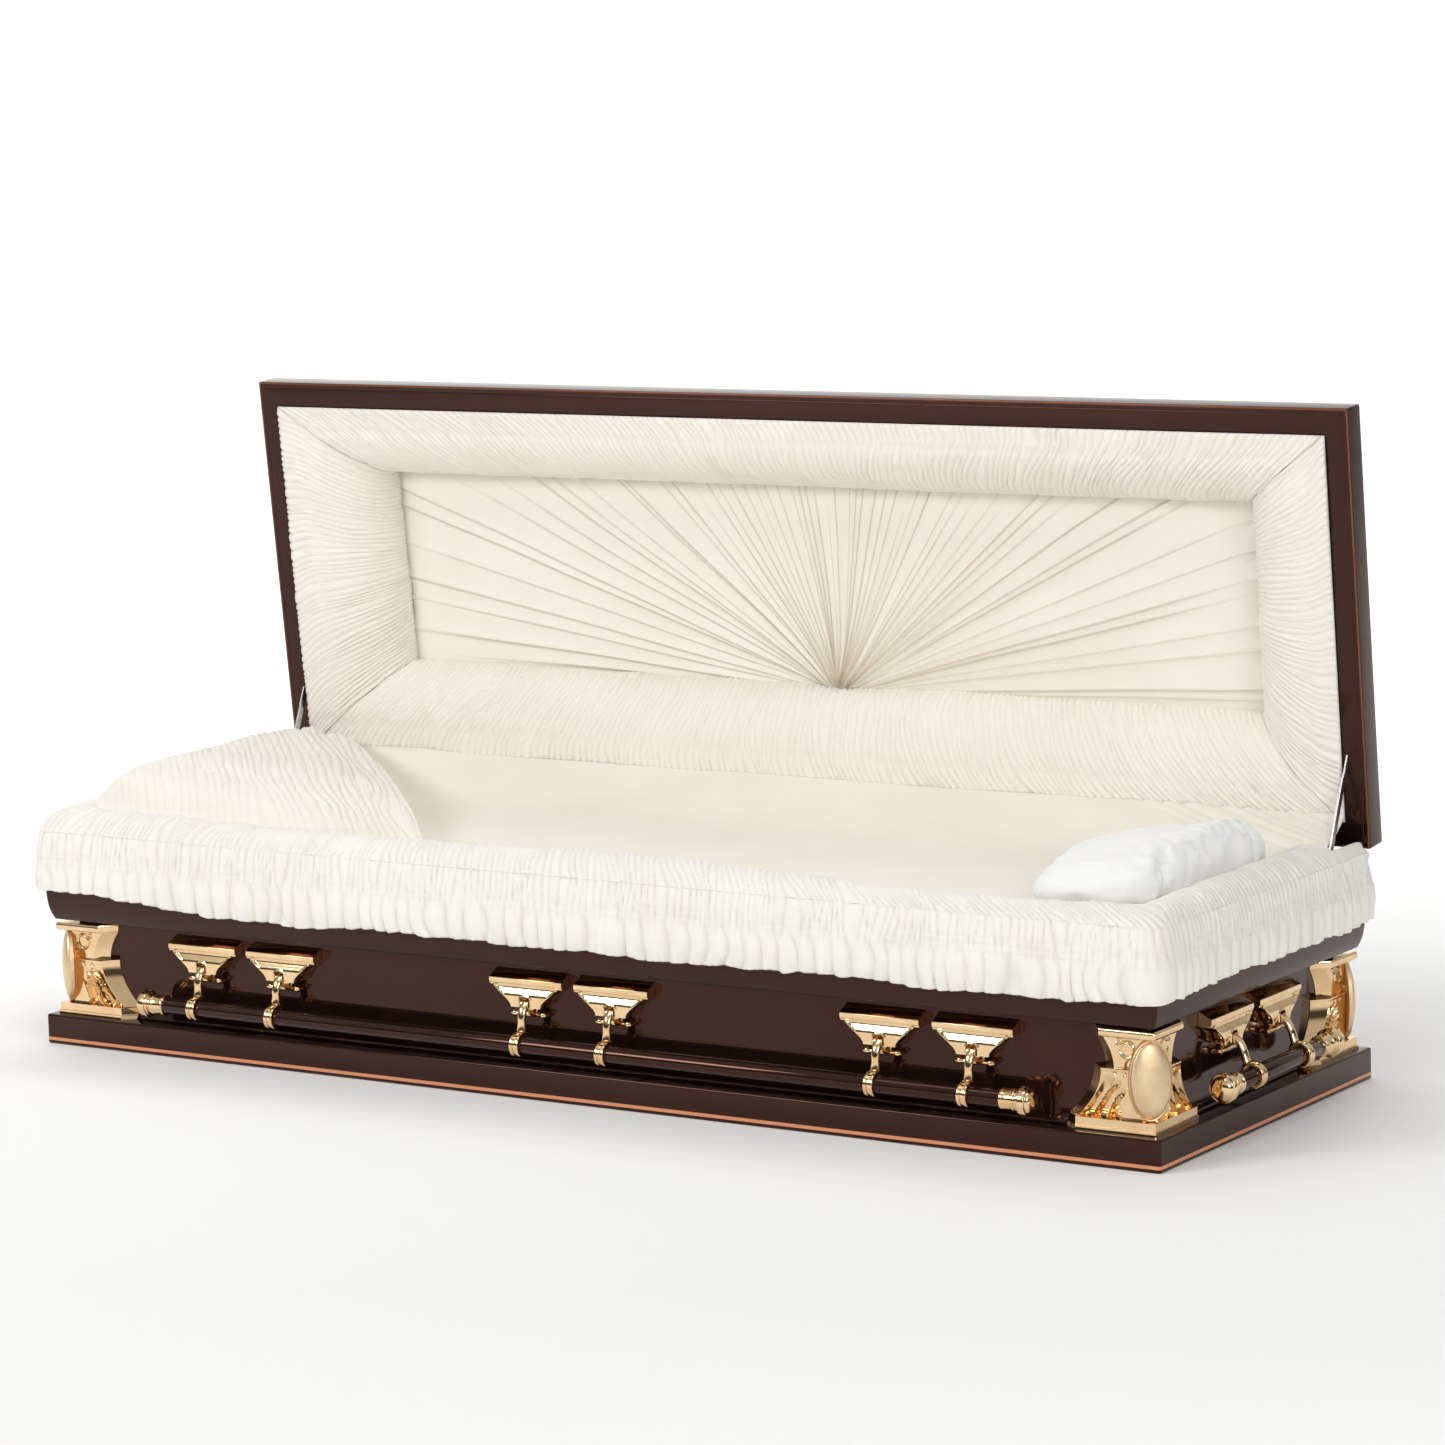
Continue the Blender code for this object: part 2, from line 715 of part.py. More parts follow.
def earMesh():
    """A handle bracket. Its back is at y = 0, it stands out towards -y, and its heights are world heights."""
    half = earWidth / 2
    stripBottom = earTop - stripHeight
    strip = prismMesh("ear_strip", [(0.0, stripBottom), (-earDepth, stripBottom), (-earDepth, earTop),
                                    (0.0, earTop + earRoofRise)], -half, half)
    shoulder = half - 0.006
    foot = earBottomWidth / 2
    side = [(shoulder, stripBottom + 0.004), (shoulder, stripBottom - 0.005),
            (shoulder - 0.014, stripBottom - 0.018), (foot, earBottom)]
    outline = side + [(-x, z) for x, z in side[::-1]]
    cheek = prismMesh("ear_body", outline, -earDepth - earFaceStep, 0.0, "Y")
    barTop = earBottom - footBarDrop
    barBottom = barTop - footBarHeight
    block = [(0.0, barBottom), (-footBarDepth, barBottom), (-footBarDepth, barTop), (0.0, barTop)]
    footBar = prismMesh("ear_foot", block, -footBarWidth / 2, footBarWidth / 2)
    stem = [(0.0, barTop - 0.002), (-webDepth, barTop - 0.002), (-webDepth, earBottom + 0.002),
            (0.0, earBottom + 0.002)]
    web = prismMesh("ear_web", stem, -webWidth / 2, webWidth / 2)
    mouth = [(half - 0.016, stripBottom + 0.0005), (half - 0.024, stripBottom - 0.010)]
    lens = [(-x, z) for x, z in mouth] + [(0.0, stripBottom - pocketHeight)] + mouth[::-1]
    pocket = prismMesh("ear_pocket", lens, -2 * earDepth, -earDepth - earFaceStep + pocketDepth, "Y")
    slotHalf = knuckleWidth / 2 + slotPlay
    archTop = pivotHeight + knuckleRadius
    arch = [(-slotHalf, earBottom - 0.004), (slotHalf, earBottom - 0.004)]
    for step in range(4):
        angle = math.pi * step / 3
        arch.append((slotHalf * math.cos(angle), archTop + 0.6 * slotHalf * math.sin(angle)))
    slotBack = -(wallInset - pivotInset) + knuckleRadius + slotPlay
    slot = prismMesh("ear_slot", arch, -2 * earDepth, slotBack, "Y")
    return combine("handle_ear", strip, additions=[cheek, footBar, web], cuts=[pocket, slot])


def armMesh():
    """A handle arm, hanging straight down from its knuckle at the origin to the ring round the bar."""
    knuckle = []
    for step in range(knuckleSides):
        angle = 2 * math.pi * step / knuckleSides
        knuckle.append((knuckleRadius * math.cos(angle), knuckleRadius * math.sin(angle)))
    barrel = prismMesh("arm_knuckle", knuckle, -knuckleWidth / 2, knuckleWidth / 2)
    shank = armReach - ringRadius + 0.003
    outer = []
    inner = []
    for t, thick in ((0.05, 0.0048), (0.35, 0.0038), (0.70, 0.0038), (1.0, 0.0062)):
        bow = -0.0040 * math.sin(math.pi * t)
        outer.append((bow - thick, -shank * t))
        inner.append((bow + thick, -shank * t))
    shaft = prismMesh("arm_shaft", outer + inner[::-1], -armWidth / 2, armWidth / 2)
    turns = [2 * math.pi * step / ringSides for step in range(ringSides)]
    bore = (barRadius + fitGap) / math.cos(math.pi / ringSides)
    rings = []
    for r, x in ((ringRadius, -ringWidth / 2), (ringRadius, ringWidth / 2),
                 (bore, ringWidth / 2), (bore, -ringWidth / 2)):
        rings.append([Vector((x, r * math.sin(turn), -armReach + r * math.cos(turn))) for turn in turns])
    ring = loftMesh("arm_ring", rings, True)
    return combine("handle_arm", barrel, additions=[shaft, ring])


def barMesh(name, barLength):
    profile = [(0.0, 0.5 * capRadius), (0.2 * capLength, 0.92 * capRadius), (0.4 * capLength, capRadius),
               (0.9 * capLength, capRadius), (capLength, sleeveRadius), (tipLength, sleeveRadius),
               (tipLength + 0.0015, barRadius)]
    left = [(-barLength / 2 + x, radius) for x, radius in profile]
    return turnedMesh(name, left + [(-x, radius) for x, radius in left[::-1]], barSides)


def shellInsetAt(z):
    skin = [(o, height) for o, height in bodyProfile()[1:] if height <= mouldingBottom]
    for (o1, z1), (o2, z2) in zip(skin, skin[1:]):
        if z1 <= z <= z2:
            return o1 + (o2 - o1) * (z - z1) / (z2 - z1)
    return wallInset


def castingShape(z):
    """Face inset, reach along the wall and corner cut of the casting at a height."""
    if z <= castFloor + castStepHeight:
        return castBaseInset, castBaseReach, nearlyZero
    if z <= castBaseTop:
        return castBaseInset + castStep, castBaseReach, nearlyZero
    if z <= castShelf:
        share = (castShelf - z) / (castShelf - castBaseTop)
        reach = castShelfReach + (castBaseReach - castShelfReach) * share ** 2
        face = castFaceInset + castFaceLean * share
    elif z < castBarBottom:
        share = (z - castShelf) / (castBarBottom - castShelf)
        reach = castNeckReach + (castNeckTopReach - castNeckReach) * share ** 2
        face = castFaceInset + castFaceLean
    else:
        return castBarInset, castNeckTopReach, nearlyZero
    return face, reach, 2 * (castChamfer - face)


def ribs():
    """Reach at the foot, slant and top height of each rib between the flutes, the longest first."""
    rise = castShelf - castBaseTop
    return ((0.128, 0.722, castBaseTop + 0.67 * rise), (0.103, 0.525, castBaseTop + 0.48 * rise),
            (0.080, 0.290, castBaseTop + 0.28 * rise))


def castingRing(z):
    """One level of a corner casting, in insets from the end (a) and from the front (b) of the base."""
    face, reach, cut = castingShape(z)
    back = shellInsetAt(z) - fitGap
    cutAt = face + max(cut, nearlyZero)
    columns = [(reach + castReturn, back), (reach, face)]
    before = reach
    for foot, slope, top in ribs():
        rib = min(foot - slope * (z - castBaseTop), before - ribApart)
        rib = max(rib, cutAt + ribApart)
        deep = fluteDepth if castBaseTop < z <= top else 0.0
        columns.append(((before + rib) / 2, face + deep))
        columns.append((rib, face))
        before = rib
    columns.append((cutAt, face))
    ring = columns + [(b, a) for a, b in columns[::-1]] + [(back, back)]
    return [Vector((halfLength - a, -halfWidth + b, z)) for a, b in ring]


def castingMesh():
    step = 0.0004
    levels = [castFloor, castFloor + castStepHeight, castFloor + castStepHeight + step, castBaseTop,
              castBaseTop + step, castShelf, castShelf + step, (castShelf + castBarBottom) / 2,
              castBarBottom - step, castBarBottom, castTop]
    levels += [top + side * step / 2 for foot, slope, top in ribs() for side in (-1, 1)]
    levels += [z for o, z in bodyProfile() if castBaseTop + step < z < castShelf]
    levels.sort()
    return smoothMesh(loftMesh("corner_casting", [castingRing(z) for z in levels], False), 25)


def medallionMesh():
    """An oval plaque facing -y, with its back at y = 0: upright rim, then a dome by the ellipse's formula."""
    turns = [2 * math.pi * index / medallionSides for index in range(medallionSides)]
    rings = []
    curve = ((0.9, 0.1), (0.62, 0.62), (0.3, 0.92))
    dome = [(share, medallionRim + medallionDome * rise) for share, rise in curve]
    for share, depth in [(1.0, 0.0), (1.0, medallionRim)] + dome:
        rings.append([Vector((share * medallionHalfWidth * math.cos(turn), -depth,
                              share * medallionHalfHeight * math.sin(turn))) for turn in turns])
    return smoothMesh(loftMesh("corner_medallion", rings, False), 40)


def mirrored(mesh, name, mirrorX, mirrorY):
    """A copy reflected in the planes named, with its faces turned back outwards."""
    copy = mesh.copy()
    copy.name = name
    copy.transform(Matrix.Diagonal((-1 if mirrorX else 1, -1 if mirrorY else 1, 1, 1)))
    if mirrorX != mirrorY:
        copy.flip_normals()
    return copy


def buildCarcass(paint, gilt, satinGilt, steel):
    place("base_plinth", basePlinthMesh(), paint)
    place("body_shell", bodyShellMesh(), paint)
    place("hinge_leaf_body", hingeLeafMesh("hinge_leaf_body", halfWidth - rimInset + fitGap, -1, 0), steel)
    casting = castingMesh()
    medallion = medallionMesh()
    corners = ((False, False), (False, True), (True, True), (True, False))
    for index, (mirrorX, mirrorY) in enumerate(corners, 1):
        name = f"corner_casting_{index}"
        place(name, mirrored(casting, name, mirrorX, mirrorY), gilt)
        signX = -1 if mirrorX else 1
        signY = 1 if mirrorY else -1
        facing = math.atan2(signY, signX) + math.pi / 2
        inset = castChamfer - fitGap
        seat = Vector((signX * (halfLength - inset), signY * (halfWidth - inset), medallionHeight))
        turned = Matrix.Translation(seat) @ Matrix.Rotation(facing, 4, "Z")
        place(f"corner_medallion_{index}", medallion, satinGilt, matrix=turned)


def handleSides():
    """Name, turn about Z, half depth of the casket on that side, arm places, bar length and hang angle."""
    longPlaces = [sign * (outerPairX + offset * earSpacing / 2) for sign in (-1, 1) for offset in (-1, 1)]
    longPlaces += [-earSpacing / 2, earSpacing / 2]
    endPlaces = [-endPairSpacing / 2, endPairSpacing / 2]
    return (("front", 0.0, halfWidth, sorted(longPlaces), sideBarLength, sideHangDegrees),
            ("right", math.pi / 2, halfLength, endPlaces, endBarLength, endHangDegrees),
            ("back", math.pi, halfWidth, sorted(longPlaces), sideBarLength, sideHangDegrees),
            ("left", -math.pi / 2, halfLength, endPlaces, endBarLength, endHangDegrees))


def buildHandles(paint, gilt):
    ear = earMesh()
    arm = armMesh()
    for side, turn, half, places, barLength, hang in handleSides():
        around = Matrix.Rotation(turn, 4, "Z")
        axis = around @ Vector((0, -(half - pivotInset), pivotHeight))
        swing = axisEmpty(f"axis_handle_{side}", axis, (-math.radians(hang), 0, turn))
        for index, x in enumerate(places, 1):
            seat = around @ Matrix.Translation((x, -(half - wallInset) - fitGap, 0))
            place(f"ear_{side}_{index}", ear, gilt, matrix=seat)
            place(f"arm_{side}_{index}", arm, gilt, swing, Matrix.Translation((x, 0, 0)))
        bar = barMesh(f"bar_{side}", barLength)
        place(f"bar_{side}", bar, paint, swing, Matrix.Translation((0, 0, -armReach)))


def buildLid(paint, crepe, steel):
    """The lid is drawn closed and carried by an empty on the hinge's axis, which stands at the open angle."""
    axis = Vector((0, hingeY, rimTop))
    swing = axisEmpty("axis_lid_hinge", axis, (-lidOpen, 0, 0))
    closed = Matrix.Translation(-axis)
    place("lid_shell", lidShellMesh(), paint, swing, closed)
    place("lid_lining", lidLiningMesh(), crepe, swing, closed)
    place("lid_sunburst", sunburstMesh(), crepe, swing, closed)
    leaf = hingeLeafMesh("hinge_leaf_lid", lidHalfWidth + fitGap, 1, 1)
    place("hinge_leaf_lid", leaf, steel, swing, closed)
    stay = stayMesh()
    pivotY = lidHalfWidth - stayUp
    upright = Matrix.Rotation(lidOpen - math.radians(stayLeanDegrees), 4, "X")
    for name, sign in (("lid_stay_left", -1), ("lid_stay_right", 1)):
        pivot = Vector((sign * (halfLength - stayInset), pivotY, lidClosedHeight + staySetback)) - axis
        place(name, stay, steel, swing, Matrix.Translation(pivot) @ upright)


def buildBed(crepe, steel, pillowCloth):
    place("bed_frame", bedFrameMesh(), steel)
    place("mattress", mattressMesh(), crepe)
    place("pillow", pillowMesh(), pillowCloth)
    place("foot_overlay", footOverlayMesh(), crepe)
    place("rail_overlay", skirtMesh(), crepe)
    place("back_apron", apronMesh(), crepe)


def main():
    clearScene()
    paint = makeMaterial("brown_enamel", (0.042, 0.024, 0.020), 0.12, 0.0)
    gilt = makeMaterial("polished_gilt", (0.72, 0.46, 0.19), 0.16, 1.0)
    satinGilt = makeMaterial("satin_gilt", (0.78, 0.56, 0.30), 0.38, 1.0)
    steel = makeMaterial("plated_steel", (0.62, 0.61, 0.60), 0.28, 1.0)
    crepe = makeMaterial("cream_crepe", (0.83, 0.80, 0.73), 0.85, 0.0)
    pillowCloth = makeMaterial("pillow_cloth", (0.82, 0.83, 0.83), 0.85, 0.0)
    buildCarcass(paint, gilt, satinGilt, steel)
    buildHandles(paint, gilt)
    buildLid(paint, crepe, steel)
    buildBed(crepe, steel, pillowCloth)


main()
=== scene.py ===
import json
import math

import bmesh
import bpy
import numpy as np
from mathutils import Matrix, Vector


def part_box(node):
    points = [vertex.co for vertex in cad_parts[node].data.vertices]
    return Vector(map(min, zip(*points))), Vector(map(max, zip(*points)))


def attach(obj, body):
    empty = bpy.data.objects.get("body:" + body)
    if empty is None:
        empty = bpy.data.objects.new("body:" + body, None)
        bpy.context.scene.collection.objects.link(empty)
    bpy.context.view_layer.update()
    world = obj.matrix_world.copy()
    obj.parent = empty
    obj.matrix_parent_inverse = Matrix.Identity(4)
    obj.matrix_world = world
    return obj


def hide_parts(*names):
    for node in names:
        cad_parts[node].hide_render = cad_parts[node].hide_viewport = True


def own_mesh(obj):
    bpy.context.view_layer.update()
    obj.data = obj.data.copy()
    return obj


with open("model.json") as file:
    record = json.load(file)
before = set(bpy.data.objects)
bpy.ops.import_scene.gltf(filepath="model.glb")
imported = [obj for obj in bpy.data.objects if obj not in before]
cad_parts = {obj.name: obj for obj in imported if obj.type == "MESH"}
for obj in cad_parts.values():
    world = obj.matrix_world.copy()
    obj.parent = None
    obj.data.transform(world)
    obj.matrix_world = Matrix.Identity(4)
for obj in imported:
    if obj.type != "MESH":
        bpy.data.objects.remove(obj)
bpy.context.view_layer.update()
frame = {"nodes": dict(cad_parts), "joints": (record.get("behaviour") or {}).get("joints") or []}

# Full-length steel casket with its lid up. Metres, +X to the head end, -Y to the front, +Z up.
# Insets are measured inwards from the outline of the base, as in the model that the frame brings.

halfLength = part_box("base_plinth")[1][0]
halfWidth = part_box("base_plinth")[1][1]
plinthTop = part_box("base_plinth")[1][2]
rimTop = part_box("body_shell")[1][2]
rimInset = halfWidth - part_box("body_shell")[1][1]
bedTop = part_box("mattress")[1][2]
lidHinge = next(joint for joint in frame["joints"] if joint["name"] == "lid_hinge")
lidAxis = Vector(lidHinge["pos_m"])
lidOpen = math.radians(max(lidHinge["range_deg"]))
lidHalfWidth = 0.35075
lidClosedHeight = 0.3655


def smoothStep(x, low, high):
    # 3t^2 - 2t^3 of the way from low to high, held at 0 below and at 1 above
    t = np.clip((x - low) / (high - low), 0.0, 1.0)
    return t * t * (3 - 2 * t)


def grid(*coordinates):
    # numbers and arrays spread to one shape and stacked as the last axis
    return np.stack(np.broadcast_arrays(*coordinates), -1)


def valueNoise(x, y, seed):
    # random heights on a unit lattice, joined by a smooth step, from -1 to 1
    rng = np.random.default_rng(seed)
    order = rng.permutation(256)
    heights = rng.uniform(-1, 1, 256)
    column = np.floor(x).astype(np.int64)
    row = np.floor(y).astype(np.int64)
    across = smoothStep(x - column, 0, 1)
    up = smoothStep(y - row, 0, 1)

    def at(i, j):
        return heights[order[(i + order[j & 255]) & 255]]

    low = at(column, row) * (1 - across) + at(column + 1, row) * across
    high = at(column, row + 1) * (1 - across) + at(column + 1, row + 1) * across
    return low * (1 - up) + high * up


def gathers(along, across, pitch, seed, wander=0.9, reach=0.10):
    # round ridges with narrow valleys: |sin| of a phase that wanders with both directions, from 0 to 1
    phase = along / pitch + wander * valueNoise(along / (3.1 * pitch), across / reach, seed)
    phase = phase + 0.25 * valueNoise(along / (1.3 * pitch), across / (0.4 * reach), seed + 1)
    size = 0.72 + 0.28 * valueNoise(along / (2.2 * pitch), across / (0.6 * reach), seed + 2)
    return size * np.abs(np.sin(np.pi * phase)) ** 0.85


def valleys(folds, gain):
    # 1 at the bottom of the folds, 0 on their ridges
    return (1 - np.clip(folds * gain, 0, 1)) ** 2


def squareCircle(turn, power):
    # cosine and sine raised to the power with their signs kept: below 1 the circle fills out to a square
    c, s = np.cos(turn), np.sin(turn)
    return np.sign(c) * np.abs(c) ** power, np.sign(s) * np.abs(s) ** power


def smoothCurve(points, count):
    # a curve through the points, by the cubic that shares its tangents with its neighbours
    points = np.array(points, float)
    ends = np.vstack([2 * points[0] - points[1], points, 2 * points[-1] - points[-2]])
    t = np.linspace(0, len(points) - 1, count)
    i = np.minimum(t.astype(int), len(points) - 2)
    f = (t - i)[:, None]
    a, b, c, d = ends[i], ends[i + 1], ends[i + 2], ends[i + 3]
    cubic = 3 * b - a - 3 * c + d
    return 0.5 * (2 * b + (c - a) * f + (2 * a - 5 * b + 4 * c - d) * f ** 2 + cubic * f ** 3)


def rounded(points, radius, steps=4):
    # every inner corner of a line becomes a short curve, cut back by the radius or by 45% of its shorter side
    points = [np.array(point, float) for point in points]
    t = np.linspace(0, 1, steps + 1)[:, None]
    parts = [points[0][None, :]]
    for before, here, after in zip(points, points[1:], points[2:]):
        back = before - here
        ahead = after - here
        cut = min(radius, 0.45 * np.linalg.norm(back), 0.45 * np.linalg.norm(ahead))
        first = here + back / np.linalg.norm(back) * cut
        last = here + ahead / np.linalg.norm(ahead) * cut
        parts.append((1 - t) ** 2 * first + 2 * t * (1 - t) * here + t ** 2 * last)
    parts.append(points[-1][None, :])
    return np.vstack(parts)


def closedRound(points, radius, steps=3):
    # the same for a closed outline
    points = [np.array(point, float) for point in points]
    line = rounded([(points[0] + points[-1]) / 2] + points + [(points[0] + points[-1]) / 2], radius, steps)
    return line[:-1]


def directions(line):
    # unit directions along a line, each the mean over its neighbours
    ahead = np.gradient(line, axis=0)
    return ahead / np.linalg.norm(ahead, axis=1)[:, None]


def offsetLine(line, distance):
    # the line moved to its left by the distance
    ahead = directions(line)
    return line + distance * np.stack([-ahead[:, 1], ahead[:, 0]], -1)


def gridNormals(points):
    # unit normals of a grid: the cross product of its two directions
    normal = np.cross(np.gradient(points, axis=0), np.gradient(points, axis=1))
    return normal / np.maximum(np.linalg.norm(normal, axis=2), 1e-12)[..., None]


def quadsOf(index):
    # the four corners of each cell in a grid of point numbers
    return np.stack([index[:-1, :-1], index[:-1, 1:], index[1:, 1:], index[1:, :-1]], -1).reshape(-1, 4)


def readPoints(mesh):
    points = np.empty(len(mesh.vertices) * 3, np.float32)
    mesh.vertices.foreach_get("co", points)
    return points.reshape(-1, 3)


def meshOf(name, points, faces, smooth=180.0):
    # a mesh from points and faces, its faces turned outwards, shaded smooth below the angle
    mesh = bpy.data.meshes.new(name)
    mesh.from_pydata(points.reshape(-1, 3).tolist(), [], faces)
    work = bmesh.new()
    work.from_mesh(mesh)
    bmesh.ops.recalc_face_normals(work, faces=work.faces)
    if work.calc_volume(signed=True) < 0:
        bmesh.ops.reverse_faces(work, faces=work.faces)
    work.to_mesh(mesh)
    work.free()
    mesh.shade_smooth()
    if smooth < 180:
        mesh.set_sharp_from_angle(angle=math.radians(smooth))
    return mesh


def ringsMesh(name, points, smooth=180.0, joinEnds=False):
    # rows of points as closed rings, one above the other. The first and last get a cap or are joined.
    rows, cols = points.shape[:2]
    index = np.arange(rows * cols).reshape(rows, cols)
    wrapped = np.hstack([index, index[:, :1]])
    if joinEnds:
        wrapped = np.vstack([wrapped, wrapped[:1]])
    faces = quadsOf(wrapped).tolist()
    if not joinEnds:
        faces += [index[0].tolist(), index[-1][::-1].tolist()]
    return meshOf(name, points, faces, smooth)


def clothMesh(name, front, back, smooth=180.0):
    # two grids of one shape, joined along their borders
    rows, cols = front.shape[:2]
    size = rows * cols
    index = np.arange(size).reshape(rows, cols)
    border = np.concatenate([index[0, :-1], index[:-1, -1], index[-1, :0:-1], index[:0:-1, 0]])
    ahead = np.roll(border, -1)
    faces = np.vstack([quadsOf(index), quadsOf(index)[:, ::-1] + size,
                       np.stack([border, border + size, ahead + size, ahead], -1)])
    return meshOf(name, np.concatenate([front.reshape(-1, 3), back.reshape(-1, 3)]), faces.tolist(), smooth)


def turnedMesh(name, profile, sides, smooth=40.0):
    # a solid turned about X from (x, radius) points
    turn = np.linspace(0, 2 * np.pi, sides, endpoint=False)
    x = np.repeat(profile[:, :1], sides, axis=1)
    points = np.stack([x, profile[:, 1:] * np.cos(turn), profile[:, 1:] * np.sin(turn)], -1)
    return ringsMesh(name, points, smooth)


def joined(name, meshes):
    # several meshes as one
    work = bmesh.new()
    for mesh in meshes:
        work.from_mesh(mesh)
    result = bpy.data.meshes.new(name)
    work.to_mesh(result)
    work.free()
    return result


def moved(mesh, matrix):
    # a copy of the mesh, transformed
    copy = mesh.copy()
    copy.transform(matrix)
    return copy


def mirroredMesh(mesh, signX, signY):
    # a copy with X or Y turned over, its faces still outwards
    copy = moved(mesh, Matrix.Diagonal((signX, signY, 1, 1)))
    if signX * signY < 0:
        copy.flip_normals()
    return copy


def rectangleRings(line, halfX, halfY, radius, steps):
    # one level ring for each (inset, height): a rectangle with an arc of the radius at each corner
    inset = line[:, :1]
    radius = np.minimum(np.broadcast_to(np.reshape(radius, (-1, 1)), inset.shape), 0.98 * (halfY - inset))
    turn = np.radians(np.concatenate([np.linspace(90 * corner - 90, 90 * corner,
                                                  steps + 1) for corner in range(4)]))
    signX = np.repeat([1, 1, -1, -1], steps + 1)
    signY = np.repeat([-1, 1, 1, -1], steps + 1)
    x = signX * (halfX - inset - radius) + radius * np.cos(turn)
    y = signY * (halfY - inset - radius) + radius * np.sin(turn)
    return np.stack([x, y, line[:, 1:] + 0 * x], -1)


def openLid(points):
    # from the closed lid to the raised one: a turn about the hinge
    y = points[..., 1] - lidAxis.y
    z = points[..., 2] - lidAxis.z
    c = math.cos(-lidOpen)
    s = math.sin(-lidOpen)
    return np.stack([points[..., 0], lidAxis.y + y * c - z * s, lidAxis.z + y * s + z * c], -1)


def addObject(name, data):
    item = bpy.data.objects.new(name, data)
    bpy.context.scene.collection.objects.link(item)
    return item


def setMaterial(mesh, material):
    mesh.materials.clear()
    mesh.materials.append(material)


def finished(name, mesh, material, body, nodes=()):
    # the mesh as a piece: its material, the body it rides on, and the nodes it stands for, which are hidden
    mesh.name = name
    setMaterial(mesh, material)
    piece = addObject(name, mesh)
    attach(piece, body)
    if nodes:
        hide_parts(*nodes)
    return piece


def newMaterial(name):
    material = bpy.data.materials.new(name)
    material.use_nodes = True
    tree = material.node_tree
    return material, tree, tree.nodes["Principled BSDF"]


def noiseNode(tree, scale, detail=3.0, roughness=0.5, stretch=None):
    # noise in Object coordinates, stretched by a factor for each axis where one is given
    place = tree.nodes.new("ShaderNodeTexCoord")
    noise = tree.nodes.new("ShaderNodeTexNoise")
    noise.inputs["Scale"].default_value = scale
    noise.inputs["Detail"].default_value = detail
    noise.inputs["Roughness"].default_value = roughness
    source = place.outputs["Object"]
    if stretch:
        mapping = tree.nodes.new("ShaderNodeMapping")
        mapping.inputs["Scale"].default_value = stretch
        tree.links.new(source, mapping.inputs["Vector"])
        source = mapping.outputs["Vector"]
    tree.links.new(source, noise.inputs["Vector"])
    return noise


def heightOf(tree, output):
    # Z of one of the coordinate outputs
    place = tree.nodes.new("ShaderNodeTexCoord")
    parts = tree.nodes.new("ShaderNodeSeparateXYZ")
    tree.links.new(place.outputs[output], parts.inputs[0])
    return parts.outputs["Z"]


def attributeOf(tree, name):
    attribute = tree.nodes.new("ShaderNodeAttribute")
    attribute.attribute_name = name
    return attribute.outputs["Fac"]


def rampNode(tree, source, stops):
    # colours by position, blended straight between the stops
    ramp = tree.nodes.new("ShaderNodeValToRGB")
    first, last = ramp.color_ramp.elements
    first.position, first.color = stops[0][0], (*stops[0][1], 1)
    last.position, last.color = stops[-1][0], (*stops[-1][1], 1)
    for position, colour in stops[1:-1]:
        ramp.color_ramp.elements.new(position).color = (*colour, 1)
    tree.links.new(source, ramp.inputs["Fac"])
    return ramp


def bumpNode(tree, height, strength, distance, before=None):
    bump = tree.nodes.new("ShaderNodeBump")
    bump.inputs["Strength"].default_value = strength
    bump.inputs["Distance"].default_value = distance
    tree.links.new(height, bump.inputs["Height"])
    if before:
        tree.links.new(before.outputs["Normal"], bump.inputs["Normal"])
    return bump


def mixNode(tree, share, first, second):
    # first where the share is 0, second where it is 1; each is a colour or a socket
    mix = tree.nodes.new("ShaderNodeMix")
    mix.data_type = "RGBA"
    tree.links.new(share, mix.inputs["Factor"])
    for socket, value in ((mix.inputs["A"], first), (mix.inputs["B"], second)):
        if isinstance(value, tuple):
            socket.default_value = (*value, 1)
        else:
            tree.links.new(value, socket)
    return mix.outputs["Result"]


def mathNode(tree, operation, first, second):
    # the second value is a number or a socket
    node = tree.nodes.new("ShaderNodeMath")
    node.operation = operation
    tree.links.new(first, node.inputs[0])
    if isinstance(second, float):
        node.inputs[1].default_value = second
    else:
        tree.links.new(second, node.inputs[1])
    return node.outputs[0]


def between(tree, value, low, high):
    # 1 where the value lies between low and high
    over = mathNode(tree, "GREATER_THAN", value, low)
    return mathNode(tree, "MULTIPLY", over, mathNode(tree, "LESS_THAN", value, high))


enamel = {"dark": (0.0120, 0.0050, 0.0040), "light": (0.0165, 0.0070, 0.0055), "roughness": 0.07,
          "specular": 0.54, "tint": (1.0, 0.50, 0.38), "copper": (0.72, 0.30, 0.15),
          "dullCopper": (0.16, 0.062, 0.030)}


def enamelMaterial(name, stripes=()):
    # sprayed brown enamel under clear lacquer; stripes are (measure, low, high, colour)
    material, tree, shader = newMaterial(name)
    cloud = noiseNode(tree, 14.0, 4.0)
    colour = rampNode(tree, cloud.outputs["Fac"],
                      [(0.35, enamel["dark"]), (0.65, enamel["light"])]).outputs["Color"]
    for measure, low, high, paint in stripes:
        source = heightOf(tree, "Object") if measure == "height" else attributeOf(tree, measure)
        colour = mixNode(tree, between(tree, source, low, high), colour, enamel[paint])
    tree.links.new(colour, shader.inputs["Base Color"])
    shader.inputs["Roughness"].default_value = enamel["roughness"]
    shader.inputs["Specular IOR Level"].default_value = enamel["specular"]
    shader.inputs["Specular Tint"].default_value = (*enamel["tint"], 1)
    peel = noiseNode(tree, 260.0, 2.0)
    bump = bumpNode(tree, peel.outputs["Fac"], 0.02, 0.0004)
    tree.links.new(bump.outputs["Normal"], shader.inputs["Normal"])
    return material


